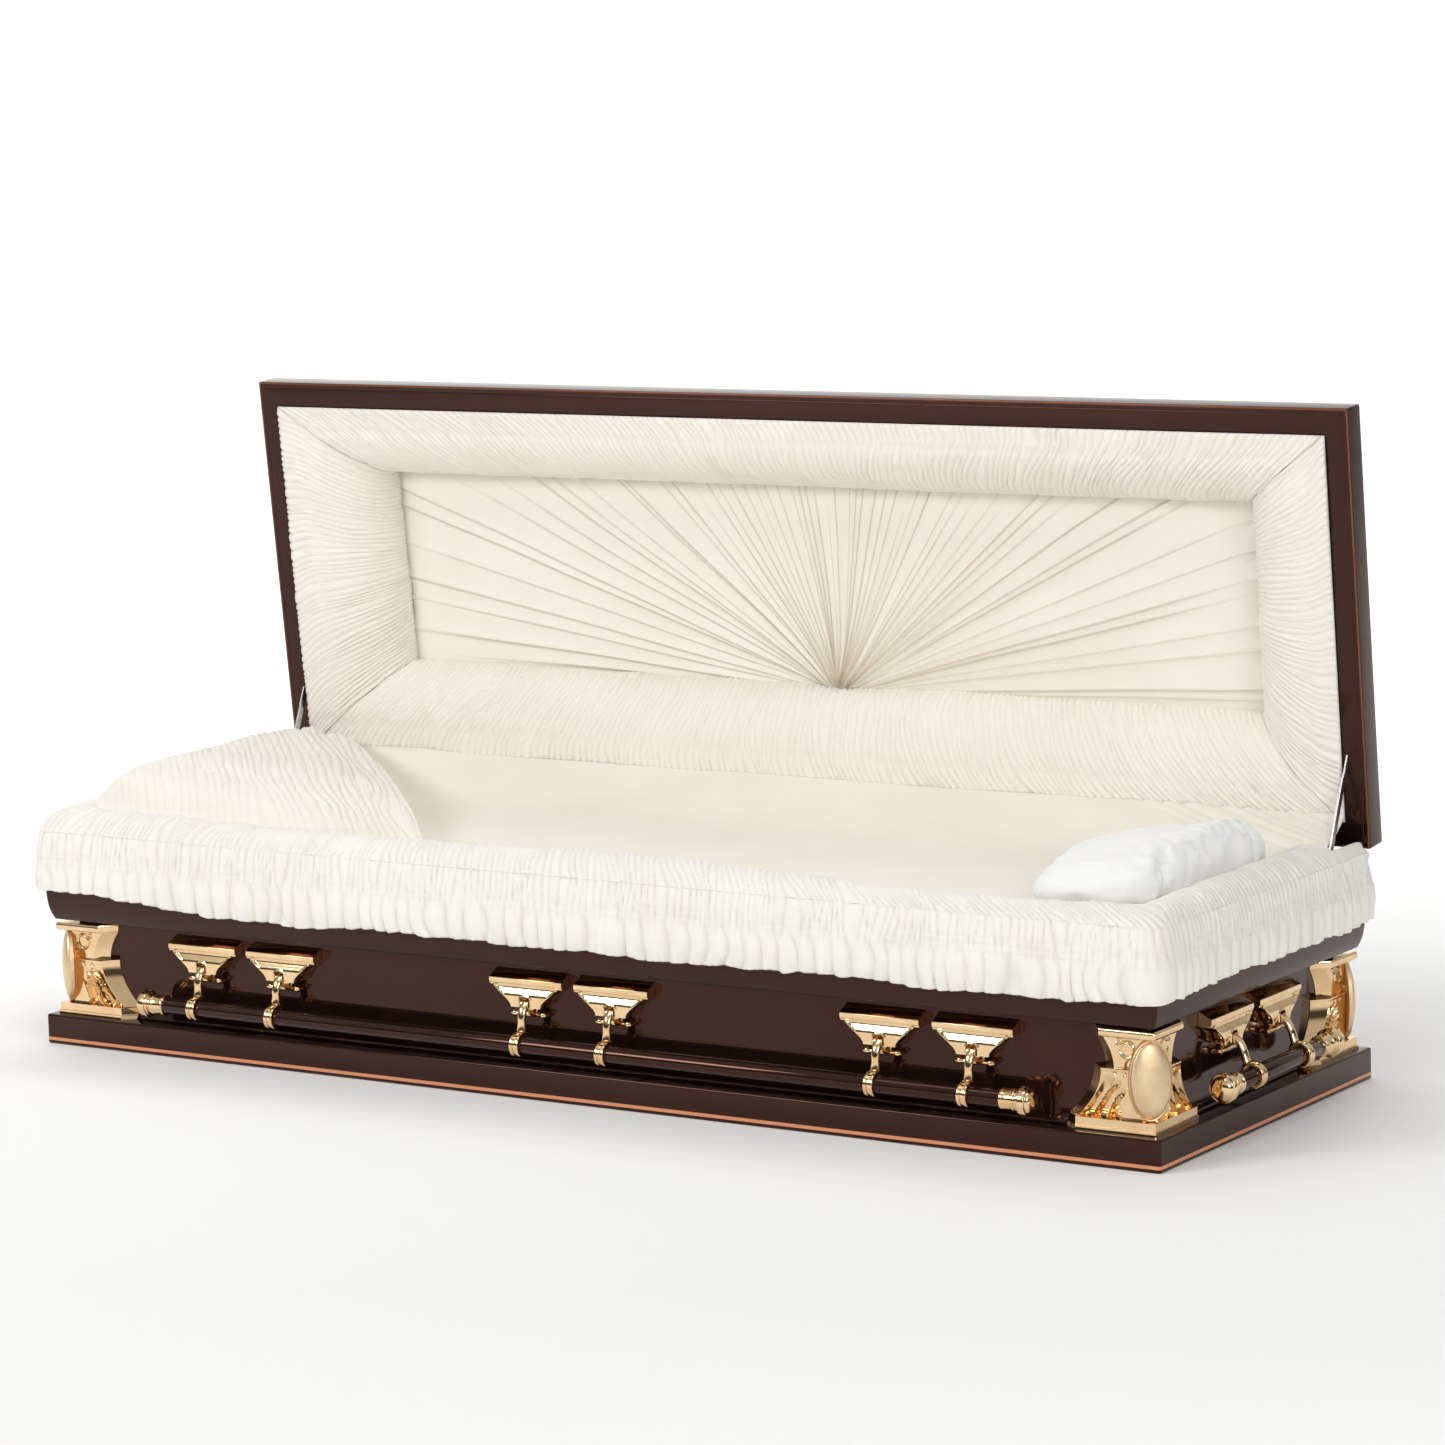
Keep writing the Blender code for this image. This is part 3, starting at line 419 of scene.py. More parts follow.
def metalMaterial(name, low, high, roughness, grain, grainScale):
    # plated metal: slow drift of colour and roughness, and a fine grain in the bump
    material, tree, shader = newMaterial(name)
    drift = noiseNode(tree, 30.0, 3.0)
    colour = rampNode(tree, drift.outputs["Fac"], [(0.3, low), (0.7, high)])
    tree.links.new(colour.outputs["Color"], shader.inputs["Base Color"])
    shader.inputs["Metallic"].default_value = 1.0
    wear = noiseNode(tree, 90.0, 4.0, 0.6)
    spread = tree.nodes.new("ShaderNodeMapRange")
    spread.inputs["To Min"].default_value = 0.75 * roughness
    spread.inputs["To Max"].default_value = 1.3 * roughness
    tree.links.new(wear.outputs["Fac"], spread.inputs["Value"])
    tree.links.new(spread.outputs["Result"], shader.inputs["Roughness"])
    speck = noiseNode(tree, grainScale, 3.0, 0.6)
    bump = bumpNode(tree, speck.outputs["Fac"], grain, 0.0006)
    tree.links.new(bump.outputs["Normal"], shader.inputs["Normal"])
    return material


def clothMaterial(name, light, shade, foldShadeColour, grain=0.25, sheen=0.35):
    # crepe: pebbled grain and fine crossing threads in the bump, and painted shade in the folds: the colour
    # goes towards the painted shade colour where the per-point fold attribute is high
    material, tree, shader = newMaterial(name)
    drift = noiseNode(tree, 5.0, 3.0)
    colour = rampNode(tree, drift.outputs["Fac"], [(0.3, shade), (0.7, light)]).outputs["Color"]
    # painted shade: the per-point fold attribute mixes in the painted shade colour
    colour = mixNode(tree, attributeOf(tree, "foldShade"), colour, foldShadeColour)
    tree.links.new(colour, shader.inputs["Base Color"])
    shader.inputs["Roughness"].default_value = 0.82
    shader.inputs["Specular IOR Level"].default_value = 0.25
    shader.inputs["Sheen Weight"].default_value = sheen
    shader.inputs["Sheen Roughness"].default_value = 0.5
    pebble = noiseNode(tree, 520.0, 4.0, 0.65, (1.0, 1.0, 0.55))
    thread = noiseNode(tree, 1500.0, 2.0, 0.5, (1.0, 1.0, 0.2))
    rumple = noiseNode(tree, 60.0, 3.0, 0.55)
    bump = bumpNode(tree, rumple.outputs["Fac"], 0.18, 0.0030)
    bump = bumpNode(tree, pebble.outputs["Fac"], grain, 0.0010, bump)
    bump = bumpNode(tree, thread.outputs["Fac"], 0.15, 0.0004, bump)
    tree.links.new(bump.outputs["Normal"], shader.inputs["Normal"])
    return material


def setAttribute(mesh, name, amount):
    # the amounts go to the mesh's first points, in order, and the rest get 0
    values = np.zeros(len(mesh.vertices), np.float32)
    values[:amount.size] = amount.reshape(-1)
    attribute = mesh.attributes.new(name, "FLOAT", "POINT")
    attribute.data.foreach_set("value", values)


# the per-point amount of painted shade in fold valleys and seams, from 0 to 1
def setFoldShade(mesh, amount):
    setAttribute(mesh, "foldShade", np.clip(amount, 0, 1))


print("materials")
plinthEnamel = enamelMaterial("plinth_enamel", [("height", 0.0058, 0.0112, "copper")])
bodyEnamel = enamelMaterial("body_enamel")
lidEnamel = enamelMaterial("lid_enamel", [("inset", 0.0006, 0.0036, "dullCopper")])
gilt = metalMaterial("polished_gilt", (0.83, 0.56, 0.30), (0.92, 0.68, 0.41), 0.10, 0.04, 420.0)
satinGilt = metalMaterial("satin_gilt", (0.78, 0.57, 0.34), (0.88, 0.68, 0.44), 0.36, 0.90, 480.0)
nickel = metalMaterial("bright_nickel", (0.44, 0.43, 0.41), (0.56, 0.55, 0.53), 0.26, 0.06, 300.0)
# the third colour of each cloth is the painted shade for its fold valleys and seams
crepe = clothMaterial("cream_crepe", (0.90, 0.87, 0.79), (0.86, 0.83, 0.745), (0.62, 0.53, 0.40))
bedCrepe = clothMaterial("bed_crepe", (0.87, 0.84, 0.745), (0.83, 0.79, 0.69), (0.62, 0.53, 0.40), 0.12)
railCrepe = clothMaterial("rail_crepe", (0.905, 0.89, 0.835), (0.875, 0.855, 0.79), (0.56, 0.48, 0.37))
pleatCrepe = clothMaterial("pleat_crepe", (0.90, 0.87, 0.79), (0.87, 0.835, 0.75), (0.40, 0.27, 0.15), 0.2)
whiteCloth = clothMaterial("pillow_cloth", (0.93, 0.93, 0.925), (0.90, 0.90, 0.895), (0.66, 0.66, 0.66))


base = {"round": 0.0035, "flange": 0.075, "sheet": 0.0015, "floorInset": 0.20, "cornerRadius": 0.005}


def basePlinth():
    # upright face between a bottom and a top flange, as a closed profile carried round a rectangle
    outer = rounded([(base["floorInset"], 0.0), (0.0, 0.0), (0.0, plinthTop), (base["flange"], plinthTop)],
                    base["round"], 5)
    inner = rounded([(base["flange"], plinthTop - base["sheet"]), (base["sheet"], plinthTop - base["sheet"]),
                     (base["sheet"], base["sheet"]), (base["floorInset"], base["sheet"])], base["round"], 5)
    rings = rectangleRings(np.vstack([outer, inner]), halfLength, halfWidth, base["cornerRadius"], 8)
    return finished("base_moulding", ringsMesh("base", rings, 40), plinthEnamel, "casket",
                    ["base_plinth"])


body = {"wallInset": 0.043, "coveInset": 0.030, "coveTop": 0.082, "mouldingBottom": 0.212,
        "mouldingInset": 0.0137,
        "lip": 0.0025, "fade": 0.0184, "ledge": 0.024, "drop": 0.012, "sheet": 0.0012}


def bodyShell():
    # cove, upright wall, moulding that leans out by an exponential curve, rim and inner ledge
    floor = plinthTop + 0.0003
    turn = np.linspace(0, np.pi / 2, 10)
    cove = np.stack([body["coveInset"] + (body["wallInset"] - body["coveInset"]) * np.sin(turn),
                     body["coveTop"] - (body["coveTop"] - floor) * np.cos(turn)], -1)
    rise = np.linspace(0, 0.06, 16)
    flare = np.stack([rimInset + (body["mouldingInset"] - rimInset) * np.exp(-rise / body["fade"]),
                      body["mouldingBottom"] + body["lip"] + rise], -1)
    foot = rounded([cove[-1], (body["wallInset"], body["mouldingBottom"]),
                    (body["mouldingInset"] + 0.001, body["mouldingBottom"]), flare[0]], 0.0016, 4)
    top = rounded([flare[-1], (rimInset, rimTop), (rimInset + body["ledge"], rimTop),
                   (rimInset + body["ledge"], rimTop - body["drop"])], 0.004, 5)
    skin = np.vstack([[(base["floorInset"], floor)], cove, foot[1:-1], flare, top[1:]])
    inner = offsetLine(skin, -body["sheet"])
    inner[0] = (skin[0][0], skin[0][1] + body["sheet"])
    inner[-1] = (skin[-1][0] - body["sheet"], skin[-1][1])
    rings = rectangleRings(np.vstack([skin, inner[::-1]]), halfLength, halfWidth, base["cornerRadius"], 8)
    return finished("body_panels", ringsMesh("body", rings, 40), bodyEnamel, "casket",
                    ["body_shell"])


lid = {"rimHeight": 0.0434, "flange": 0.0466, "lip": 0.014, "coveInset": 0.046, "coveHeight": 0.030,
       "height": 0.196, "crownInset": 0.300, "crownShare": 0.27, "sheet": 0.0012, "cornerRadius": 0.003}


def lidShell():
    # crown by an ellipse, cove, upright rim, and the grooved flange that shows when the lid is up
    foot = lid["rimHeight"] + lid["coveHeight"]
    turn = np.linspace(0, np.pi / 2, 28)
    crown = np.stack([lid["crownInset"] - (lid["crownInset"] - lid["coveInset"]) * np.sin(turn),
                      foot + (lid["height"] - foot) * np.cos(turn)], -1)
    turn = np.linspace(0, np.pi / 2, 12)
    cove = np.stack([lid["coveInset"] - (lid["coveInset"] - 0.006) * (1 - np.cos(turn)),
                     foot - (lid["coveHeight"] - 0.002) * np.sin(turn)], -1)
    frameLine = rounded([cove[-1], (0.0, lid["rimHeight"]), (0.0, 0.0), (0.0090, 0.0), (0.0098, 0.0007),
                         (0.0106, 0.0), (lid["flange"], 0.0), (lid["flange"], lid["lip"])], 0.0022, 4)
    skin = np.vstack([crown, cove[1:-1], frameLine])
    inner = offsetLine(skin, lid["sheet"])
    inner[0] = (skin[0][0], skin[0][1] - lid["sheet"])
    inner[-1] = (skin[-1][0] - lid["sheet"], skin[-1][1])
    line = np.vstack([skin, inner[::-1]])
    share = smoothStep(line[:, 1], lid["rimHeight"] - 0.004, lid["rimHeight"] + 0.004)
    radius = lid["cornerRadius"] + share * (0.002 + lid["crownShare"] * line[:, 0])
    rings = rectangleRings(line, halfLength, lidHalfWidth, radius, 8)
    rings[..., 2] += lidClosedHeight
    mesh = ringsMesh("lid", openLid(rings), 40)
    inset = np.repeat(line[:, 0], rings.shape[1])
    inset[np.repeat(line[:, 1], rings.shape[1]) > 0.002] = 0.02
    setAttribute(mesh, "inset", inset)
    return finished("lid_panels", mesh, lidEnamel, "lid", ["lid_shell"])


lining = {"outer": 0.0480, "side": 0.212, "hinge": 0.185, "free": 0.1685, "depth": 0.100, "bulge": 0.006,
          "rippleHeight": 0.0045, "pitch": 0.0140, "hem": 0.0050, "cloth": 0.002, "band": 0.19,
          "mitres": 0.26, "fullness": 1.2}


def liningBand(name, edge, seed):
    # one side of the padded roll in the lid. Across: from the rim, bowed out and then by a quarter ellipse up
    # to the middle panel. Along: between the mitres. Its ripples run across, closer at the two shirred edges.
    rows = 44
    length = 2 * halfLength if edge in ("free", "hinge") else 2 * lidHalfWidth
    cols = int(length / 0.0022)
    turn = np.linspace(-0.045, np.pi / 2, rows)[:, None]
    along = np.linspace(-1, 1, cols)[None, :]
    share = np.sin(turn)
    side = lining["outer"] + (lining["side"] - lining["outer"]) * share
    hinge = lining["outer"] + (lining["hinge"] - lining["outer"]) * share
    free = lining["outer"] + (lining["free"] - lining["outer"]) * share
    x = halfLength - side
    back = lidHalfWidth - hinge
    front = -lidHalfWidth + free
    height = lining["depth"] * (1 - np.cos(turn)) - lining["bulge"] * np.sin(np.pi * share) + 0.001
    tuck = np.exp(-((turn + 0.045) / 0.14) ** 2)
    height = height - lining["hem"] * tuck + 0.0055 * smoothStep(turn, 1.46, 1.57)
    if edge == "free":
        flat = grid(x * along, front, height)
    elif edge == "hinge":
        flat = grid(-x * along, back, height)
    elif edge == "right":
        flat = grid(x, front + (back - front) * (along + 1) / 2, height)
    else:
        flat = grid(-x, back + (front - back) * (along + 1) / 2, height)
    normal = gridNormals(flat)
    if normal[2, cols // 2, 2] > 0:
        normal = -normal
    # the folds lean one way below the elastic row and the other way towards the middle panel
    lean = 0.016 * np.clip(1 - turn / 0.30, 0, 1) ** 2 - 0.022 * np.clip((turn - 0.80) / 0.77, 0, 1) ** 2
    place = along * length / 2 + lean
    across = turn * 0.16 + 0 * along
    folds = gathers(place, across, lining["pitch"], seed, 0.8, 0.14)
    fine = gathers(place, across, 0.55 * lining["pitch"], seed + 7, 0.8, 0.05)
    elastic = np.exp(-((turn - 0.29) / 0.055) ** 2) + 0.5 * np.exp(-((turn - 0.98) / 0.05) ** 2)
    mitre = smoothStep(1 - np.abs(along), 0.0, 0.005)
    ripple = folds * (1 - 0.75 * elastic) + fine * (0.30 + 0.45 * elastic) - 0.25 * elastic
    held = 0.55 + 0.45 * smoothStep(1.57 - turn, 0.0, 0.10)
    ripple = ripple * lining["rippleHeight"] * (0.4 + 0.6 * mitre) * held
    ripple = ripple - 0.0016 * (1 - mitre) + 0.0016 * valueNoise(place / 0.09, across / 0.04, seed + 3)
    front = openLid(flat + (0, 0, lidClosedHeight) + normal * ripple[..., None])
    rear = openLid(flat + (0, 0, lidClosedHeight) - normal * lining["cloth"])
    mesh = clothMesh(name, front, rear)
    # painted shade: darker in the ripple valleys, most of all near the rim edge, and a painted shade line
    # along the mitres
    valley = valleys(folds, 1.7)
    rimShade = 0.7 + 0.6 * np.exp(-turn / 0.15)
    setFoldShade(mesh, 0.34 * valley * (1 - 0.6 * elastic) * rimShade + 0.12 * (1 - mitre))
    piece = finished(name, mesh, crepe, "lid", ["lid_lining"])
    return piece


sunburst = {"pleats": 58, "focusX": 0.050, "depth": 0.0060, "width": 0.0040, "bulge": 0.0030,
            "cloth": 0.0015, "focus": 0.006,
            "under": 0.006, "gather": 0.0028}


def sunburstPanel():
    # rays from the middle of the hinge edge to the border. Every pleat is a narrow fold with one steep side.
    x = halfLength - lining["side"] + sunburst["under"]
    back = lidHalfWidth - lining["hinge"] + sunburst["under"]
    front = -lidHalfWidth + lining["free"] - sunburst["under"]
    focus = back + sunburst["focus"]
    cols = 860
    rows = 54
    turn = np.linspace(0.004, np.pi - 0.004, cols)
    sideways = np.where(turn < np.pi / 2, x - sunburst["focusX"], x + sunburst["focusX"])
    reach = np.minimum(sideways / np.maximum(np.abs(np.cos(turn)), 1e-9), (focus - front) / np.sin(turn))
    share = np.linspace(0.012, 1, rows)[:, None] ** 1.25
    away = share * reach
    px = sunburst["focusX"] + away * np.cos(turn)
    py = np.minimum(focus - away * np.sin(turn), back)
    rng = np.random.default_rng(31)
    jitter = rng.uniform(-0.38, 0.38, sunburst["pleats"])
    even = (np.arange(sunburst["pleats"]) + 0.5 + jitter) / sunburst["pleats"]
    angle = np.pi * np.sort(even)
    bend = 0.010 * valueNoise(away / 0.25, 3 * turn + 0 * away, 33)
    height = np.zeros_like(px)
    foldShade = np.zeros_like(px)
    for start in angle:
        strength = rng.uniform(0.5, 1.0)
        middle = rng.uniform(0.35, 0.6)
        lengthShare = rng.uniform(0.55, 1.0)
        lives = np.exp(-(np.maximum(np.abs(share - middle) - 0.40 * lengthShare, 0) / 0.20) ** 2)
        aside = (turn - start - bend) * np.maximum(away, 0.03)
        width = sunburst["width"] * (0.6 + 0.6 * strength)
        steep = np.where(aside > 0, width * 0.35, width * 2.4)
        fold = np.exp(-np.abs(aside) / steep) * strength * lives
        height += fold * sunburst["depth"]
        # painted shade: a dark line on one side of each pleat
        foldShade += np.exp(-((aside - 0.35 * width) / (0.45 * width)) ** 2) * strength * lives
    billow = valueNoise(turn * 9 + 0 * away, away / 0.22, 35) * sunburst["bulge"]
    height = height + billow * smoothStep(share, 0.0, 0.3)
    gatherings = np.abs(np.sin(turn * 60 + 2 * valueNoise(turn * 14, 0 * turn, 36)))
    height = height + sunburst["gather"] * gatherings * np.exp(-share * 7)
    level = lidClosedHeight + lining["depth"] + 0.0055
    flat = np.stack([px, py, level - height], -1)
    rear = np.stack([px, py, level + sunburst["cloth"] + 0 * px], -1)
    mesh = clothMesh("sunburst", openLid(flat), openLid(rear))
    # painted shade along the pleats, less towards the focus, and a painted shadow at the border under the
    # roll
    border = smoothStep(share, 0.93, 1.0) * smoothStep(np.sin(turn), 0.05, 0.3)
    near = 1 - 0.55 * np.exp(-share / 0.12)
    setFoldShade(mesh, np.clip(0.66 * foldShade * near, 0, 0.9) + 0.25 * border)
    piece = finished("lid_sunburst_cloth", mesh, pleatCrepe, "lid", ["lid_sunburst"])
    return piece


rail = {"cornerRadius": 0.024, "innerRadius": 0.006, "cornerSpread": 0.020, "cornerPush": 0.0045,
        "innerInset": 0.081, "endBack": 0.349, "split": 0.3635,
        "stayInset": 0.0285, "stayFrom": 0.232, "pitch": 0.0125, "lean": 0.9, "hem": 0.250, "elastic": 0.320,
        "cloth": 0.0012, "nominalRadius": 0.02, "shirr": 0.0032, "ruffle": 0.0100,
        "rollFlat": 0.12, "rollFullness": 1.15, "ruffleFlat": 0.118, "ruffleFullness": 1.25,
        "hemX": (-1.06, -0.98, -0.85, -0.70, -0.55, -0.35, -0.20, 0.50, 0.62, 0.90, 1.06),
        "hemRise": (0.020, 0.014, 0.0075, -0.005, -0.008, -0.002, 0.0, 0.0, -0.003, 0.0, 0.006),
        "section": ((0.0000, 0.3628), (0.0048, 0.3725), (0.0130, 0.3835), (0.0250, 0.3922), (0.041, 0.397),
                    (0.060, 0.3915), (0.073, 0.376), (0.080, 0.3575)),
        "hangZ": (0.250, 0.262, 0.285, 0.310, 0.335, 0.352, 0.3635),
        "hangInset": (-0.0040, -0.0068, -0.0090, -0.0086, -0.0060, -0.0030, 0.0), "endDraw": 0.006,
        "crestX": (-1.06, -0.94, -0.70, -0.30, -0.14, 0.05, 0.24, 0.42, 0.60, 0.77, 0.90, 1.06),
        "crestZ": (0.400, 0.398, 0.392, 0.394, 0.397, 0.399, 0.397, 0.3915, 0.386, 0.3826, 0.384, 0.3826)}


def railStations(step):
    # places along the cloth: left end from back to front, corner, front, corner, right end. Gives the part
    # (0 to 4), the share along that part and the distance from the start.
    ends = rail["endBack"] + halfWidth - rail["nominalRadius"]
    bend = rail["nominalRadius"] * np.pi / 2
    lengths = (ends, bend, 2 * (halfLength - rail["nominalRadius"]), bend, ends)
    parts = []
    shares = []
    distances = []
    start = 0.0
    for part, length in enumerate(lengths):
        count = max(14, int(length / step))
        share = np.linspace(0, 1, count, endpoint=part == 4)
        parts.append(np.full(len(share), part))
        shares.append(share)
        distances.append(start + share * length)
        start += length
    return np.concatenate(parts), np.concatenate(shares), np.concatenate(distances)


def railPoints(part, share, inset, height):
    # points at an inset from the outline: straight sides, and round corners that are pushed out a little
    over = np.clip(inset / rail["innerInset"], 0, 1)
    nearCorner = np.where((part == 1) | (part == 3), 1.0, 0.0)
    nearCorner = np.where(part == 0, smoothStep(share, 0.90, 1.0), nearCorner)
    nearCorner = np.where(part == 4, smoothStep(1 - share, 0.90, 1.0), nearCorner)
    nearCorner = np.where(part == 2, smoothStep(np.abs(2 * share - 1), 0.93, 1.0), nearCorner)
    inset = inset - rail["cornerPush"] * nearCorner * (1 - smoothStep(over, 0.15, 0.5))
    growth = (rail["innerRadius"] - rail["cornerRadius"]) * over
    radius = rail["cornerRadius"] + growth - np.minimum(inset, 0)
    radius = radius + 4 * rail["cornerSpread"] * over * (1 - over)
    cornerX = halfLength - inset - radius
    cornerY = halfWidth - inset - radius
    turn = np.where(part == 1, share, 1 - share) * np.pi / 2
    sign = np.where(part <= 1, -1.0, 1.0)
    sideShare = np.where(part == 0, share, 1 - share)
    x = sign * (halfLength - inset)
    y = rail["endBack"] - (rail["endBack"] + cornerY) * sideShare
    bent = (part == 1) | (part == 3)
    x = np.where(bent, sign * (cornerX + radius * np.cos(turn)), x)
    y = np.where(bent, -cornerY - radius * np.sin(turn), y)
    x = np.where(part == 2, cornerX * (2 * share - 1), x)
    y = np.where(part == 2, -halfWidth + inset, y)
    return np.stack([x, y, height + 0 * x], -1)


def towardsBack(part, share):
    # Y along the two ends, and the front's Y everywhere else
    along = np.where(part == 0, 1 - share, np.where(part == 4, share, 0))
    return along * (rail["endBack"] + halfWidth) - halfWidth


def railFolds(distance, over):
    # gathers shared by the roll and the ruffle; over is measured on the cloth from the split upwards
    lean = rail["lean"] * 0.045 * np.clip(over / 0.10, 0, 1) ** 1.5
    folds = gathers(distance + lean, over, rail["pitch"], 41, 1.0, 0.10)
    fine = gathers(distance + lean, over, 0.56 * rail["pitch"], 47, 0.8, 0.04)
    return folds, fine


def railRoll():
    # the roll on the rim: a smooth section whose crest follows the measured heights, finely gathered
    part, share, distance = railStations(0.0027)
    middleX = np.where(part == 2, halfLength * (2 * share - 1), np.where(part < 2, -halfLength, halfLength))
    crest = np.interp(middleX, rail["crestX"], rail["crestZ"])
    crest = np.where(part < 2, 0.4045, np.where(part > 2, 0.390, crest))
    crest = np.convolve(np.pad(crest, 30, mode="edge"), np.ones(61) / 61, "valid")
    rise = crest - 0.397
    rows = 36
    section = smoothCurve(rail["section"], rows)
    lift = np.sin(np.linspace(0, np.pi, rows)) ** 0.7
    inset = section[:, :1] + 0 * distance
    height = section[:, 1:] + lift[:, None] * rise
    narrow = smoothStep(towardsBack(part, share), rail["stayFrom"], rail["stayFrom"] + 0.02)
    squeeze = 1 - narrow * (1 - (rail["stayInset"] - 0.0085) / (0.080 - 0.0085))
    inset = np.where(inset > 0.0085, 0.0085 + (inset - 0.0085) * squeeze, inset)
    height = 0.3628 + (height - 0.3628) * (1 - np.where(height > 0.3628, 0.50, 0) * narrow)
    slope = directions(section)
    over = np.linspace(0, 0.118, rows)[:, None]
    folds, fine = railFolds(distance + 0 * over, over + 0 * distance)
    lump = valueNoise(distance / 0.13 + 0 * over, over / 0.06, 43)
    rumple = valueNoise(distance / 0.05 + 0 * over, over / 0.03, 45)
    relief = (0.0046 + 0.0016 * rumple * smoothStep(over, 0.0, 0.02)) * folds + 0.0016 * fine - 0.0016
    relief = relief + 0.0030 * lump * smoothStep(over, 0.0, 0.03)
    relief = relief * (1 - 0.55 * narrow)
    relief = np.maximum(relief, -0.0008 - 0.003 * smoothStep(over, 0.012, 0.03))
    outFront = inset - slope[:, 1:] * relief
    upFront = height + slope[:, :1] * relief
    front = railPoints(part, share, outFront, upFront)
    rear = railPoints(part, share, inset + slope[:, 1:] * 0.0024, height - slope[:, :1] * 0.0012)
    mesh = clothMesh("rail_roll", front, rear)
    # painted shade in the valleys of the gathers
    setFoldShade(mesh, 0.40 * valleys(folds, 1.6))
    piece = finished("rail_roll", mesh, railCrepe, "casket", ["rail_overlay"])
    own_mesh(piece)
    return piece


def railRuffle():
    # the part that hangs: gathers down to three elastic rows, and below them a free ruffle with an uneven hem
    part, share, distance = railStations(0.0030)
    rows = 41
    down = np.linspace(0, 1, rows)[:, None]
    hem = rail["hem"] + np.interp(railPoints(part, share, 0 * distance, 0.0)[..., 0], rail["hemX"],
                                  rail["hemRise"])
    hem = hem + 0.0042 * valueNoise(distance / 0.090, 0 * distance, 51)
    hem = hem + 0.0026 * valueNoise(distance / 0.026, 0 * distance, 52)
    height = rail["split"] + (hem - rail["split"]) * down
    inset = np.interp(height, rail["hangZ"], rail["hangInset"])
    toBack = towardsBack(part, share)
    atEnd = smoothStep(toBack, rail["endBack"] - 0.035, rail["endBack"])
    drawn = (1 - np.exp(-((height - 0.305) / 0.030) ** 2)) * (1 - smoothStep(height, 0.345, 0.3635))
    inset = inset + rail["endDraw"] * atEnd * drawn
    place = distance + 0 * down
    folds, fine = railFolds(place, height - rail["split"])
    long = gathers(place, height, 0.034, 61, 1.1, 0.14)
    half = gathers(place, height, 0.017, 67, 1.0, 0.10)
    below = smoothStep(rail["elastic"] - height, -0.004, 0.030)
    free = smoothStep(rail["elastic"] - height, 0.0, 0.060)
    rowsAt = (rail["elastic"] + 0.011, rail["elastic"], rail["elastic"] - 0.011)
    pinch = sum(np.exp(-((height - row) / 0.0013) ** 2) for row in rowsAt)
    shirred = np.exp(-((height - rail["elastic"]) / 0.018) ** 2)
    gathered = (0.0046 * folds + 0.0016 * fine) * (1 - below) * (1 - 0.5 * shirred)
    relief = gathered + rail["shirr"] * fine * shirred
    relief = relief + rail["ruffle"] * (long + 0.35 * half) * below * (0.4 + 0.6 * free)
    relief = relief * (1 - 0.25 * pinch) - 0.0016 * (1 - below)
    front = railPoints(part, share, np.minimum(inset - relief, 0.0016), height)
    rear = railPoints(part, share, np.minimum(inset - relief + rail["cloth"], 0.0030), height)
    mesh = clothMesh("rail_ruffle", front, rear)
    # painted shade in the fold valleys, and a little along the pinched elastic rows
    valley = valleys(long, 1.8) * below + valleys(folds, 1.6) * (1 - below)
    setFoldShade(mesh, 0.42 * valley + 0.05 * pinch)
    piece = finished("rail_ruffle", mesh, railCrepe, "casket", ["rail_overlay"])
    return piece


bed = {"frontY": -0.285, "backY": 0.262, "halfX": 0.985, "low": 0.330, "apronFrom": 0.18, "apronHalf": 1.0215,
       "apronBack": 0.3462, "apronTop": 0.4185, "apronFlat": (0.18, 2.05), "apronFold": 0.3565}


def bedHeight(x, y):
    # top of the mattress with slow waves of two sizes
    wave = 0.0016 * valueNoise(x / 0.20, y / 0.13, 71) + 0.0007 * valueNoise(x / 0.06, y / 0.05, 72)
    return bedTop + 0.0012 + wave


def mattressCover():
    # nearly flat cloth with slow waves, turned down at its four edges
    x = np.linspace(-bed["halfX"], bed["halfX"], 260)[None, :]
    y = np.linspace(bed["frontY"], bed["backY"], 90)[:, None]
    edge = smoothStep(bed["halfX"] - np.abs(x), 0, 0.02) * smoothStep(y - bed["frontY"], 0, 0.02)
    top = bedHeight(x, y) - 0.012 * (1 - edge)
    front = grid(x, y, top)
    rear = grid(x, y, bed["low"])
    mesh = clothMesh("mattress_cover", front, rear)
    piece = finished("mattress_cover", mesh, bedCrepe, "casket", ["mattress"])
    return piece


def apron():
    # cloth that leaves the mattress and climbs to the hem of the lid's lining, folded towards the head end
    x = np.linspace(-bed["apronHalf"], bed["apronHalf"], 620)[None, :]
    t = np.linspace(0, 1, 60)[:, None]
    y = bed["apronFrom"] + (bed["apronBack"] - bed["apronFrom"]) * t
    climb = np.clip((t - 0.25) / 0.75, 0, 1) ** 1.7
    rise = bed["apronTop"] - bedTop - 0.0024
    z = bedHeight(x, y) - 0.0006 + 0.0018 * smoothStep(t, 0.0, 0.16) + rise * climb
    slant = x + 0.55 * t
    folds = gathers(slant, t * 0.1, 0.034, 81, 1.0, 0.12) * smoothStep(slant, 1.00, 1.30)
    lift = 0.0060 * folds * smoothStep(t, 0.30, 0.6) + 0.0014 * valueNoise(x / 0.11, t * 2,
                                                                           83) * smoothStep(t, 0.1, 0.4)
    front = grid(x, y, z + lift)
    rear = grid(x, y, z - 0.0010)
    mesh = clothMesh("back_apron_cloth", front, rear)
    # painted shade in the valleys of the folds towards the head end
    setFoldShade(mesh, 0.30 * valleys(folds, 1.7) * smoothStep(slant, 1.00, 1.30) * smoothStep(t, 0.3, 0.6))
    piece = finished("back_apron_cloth", mesh, bedCrepe, "casket", ["back_apron"])
    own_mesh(piece)
    return piece


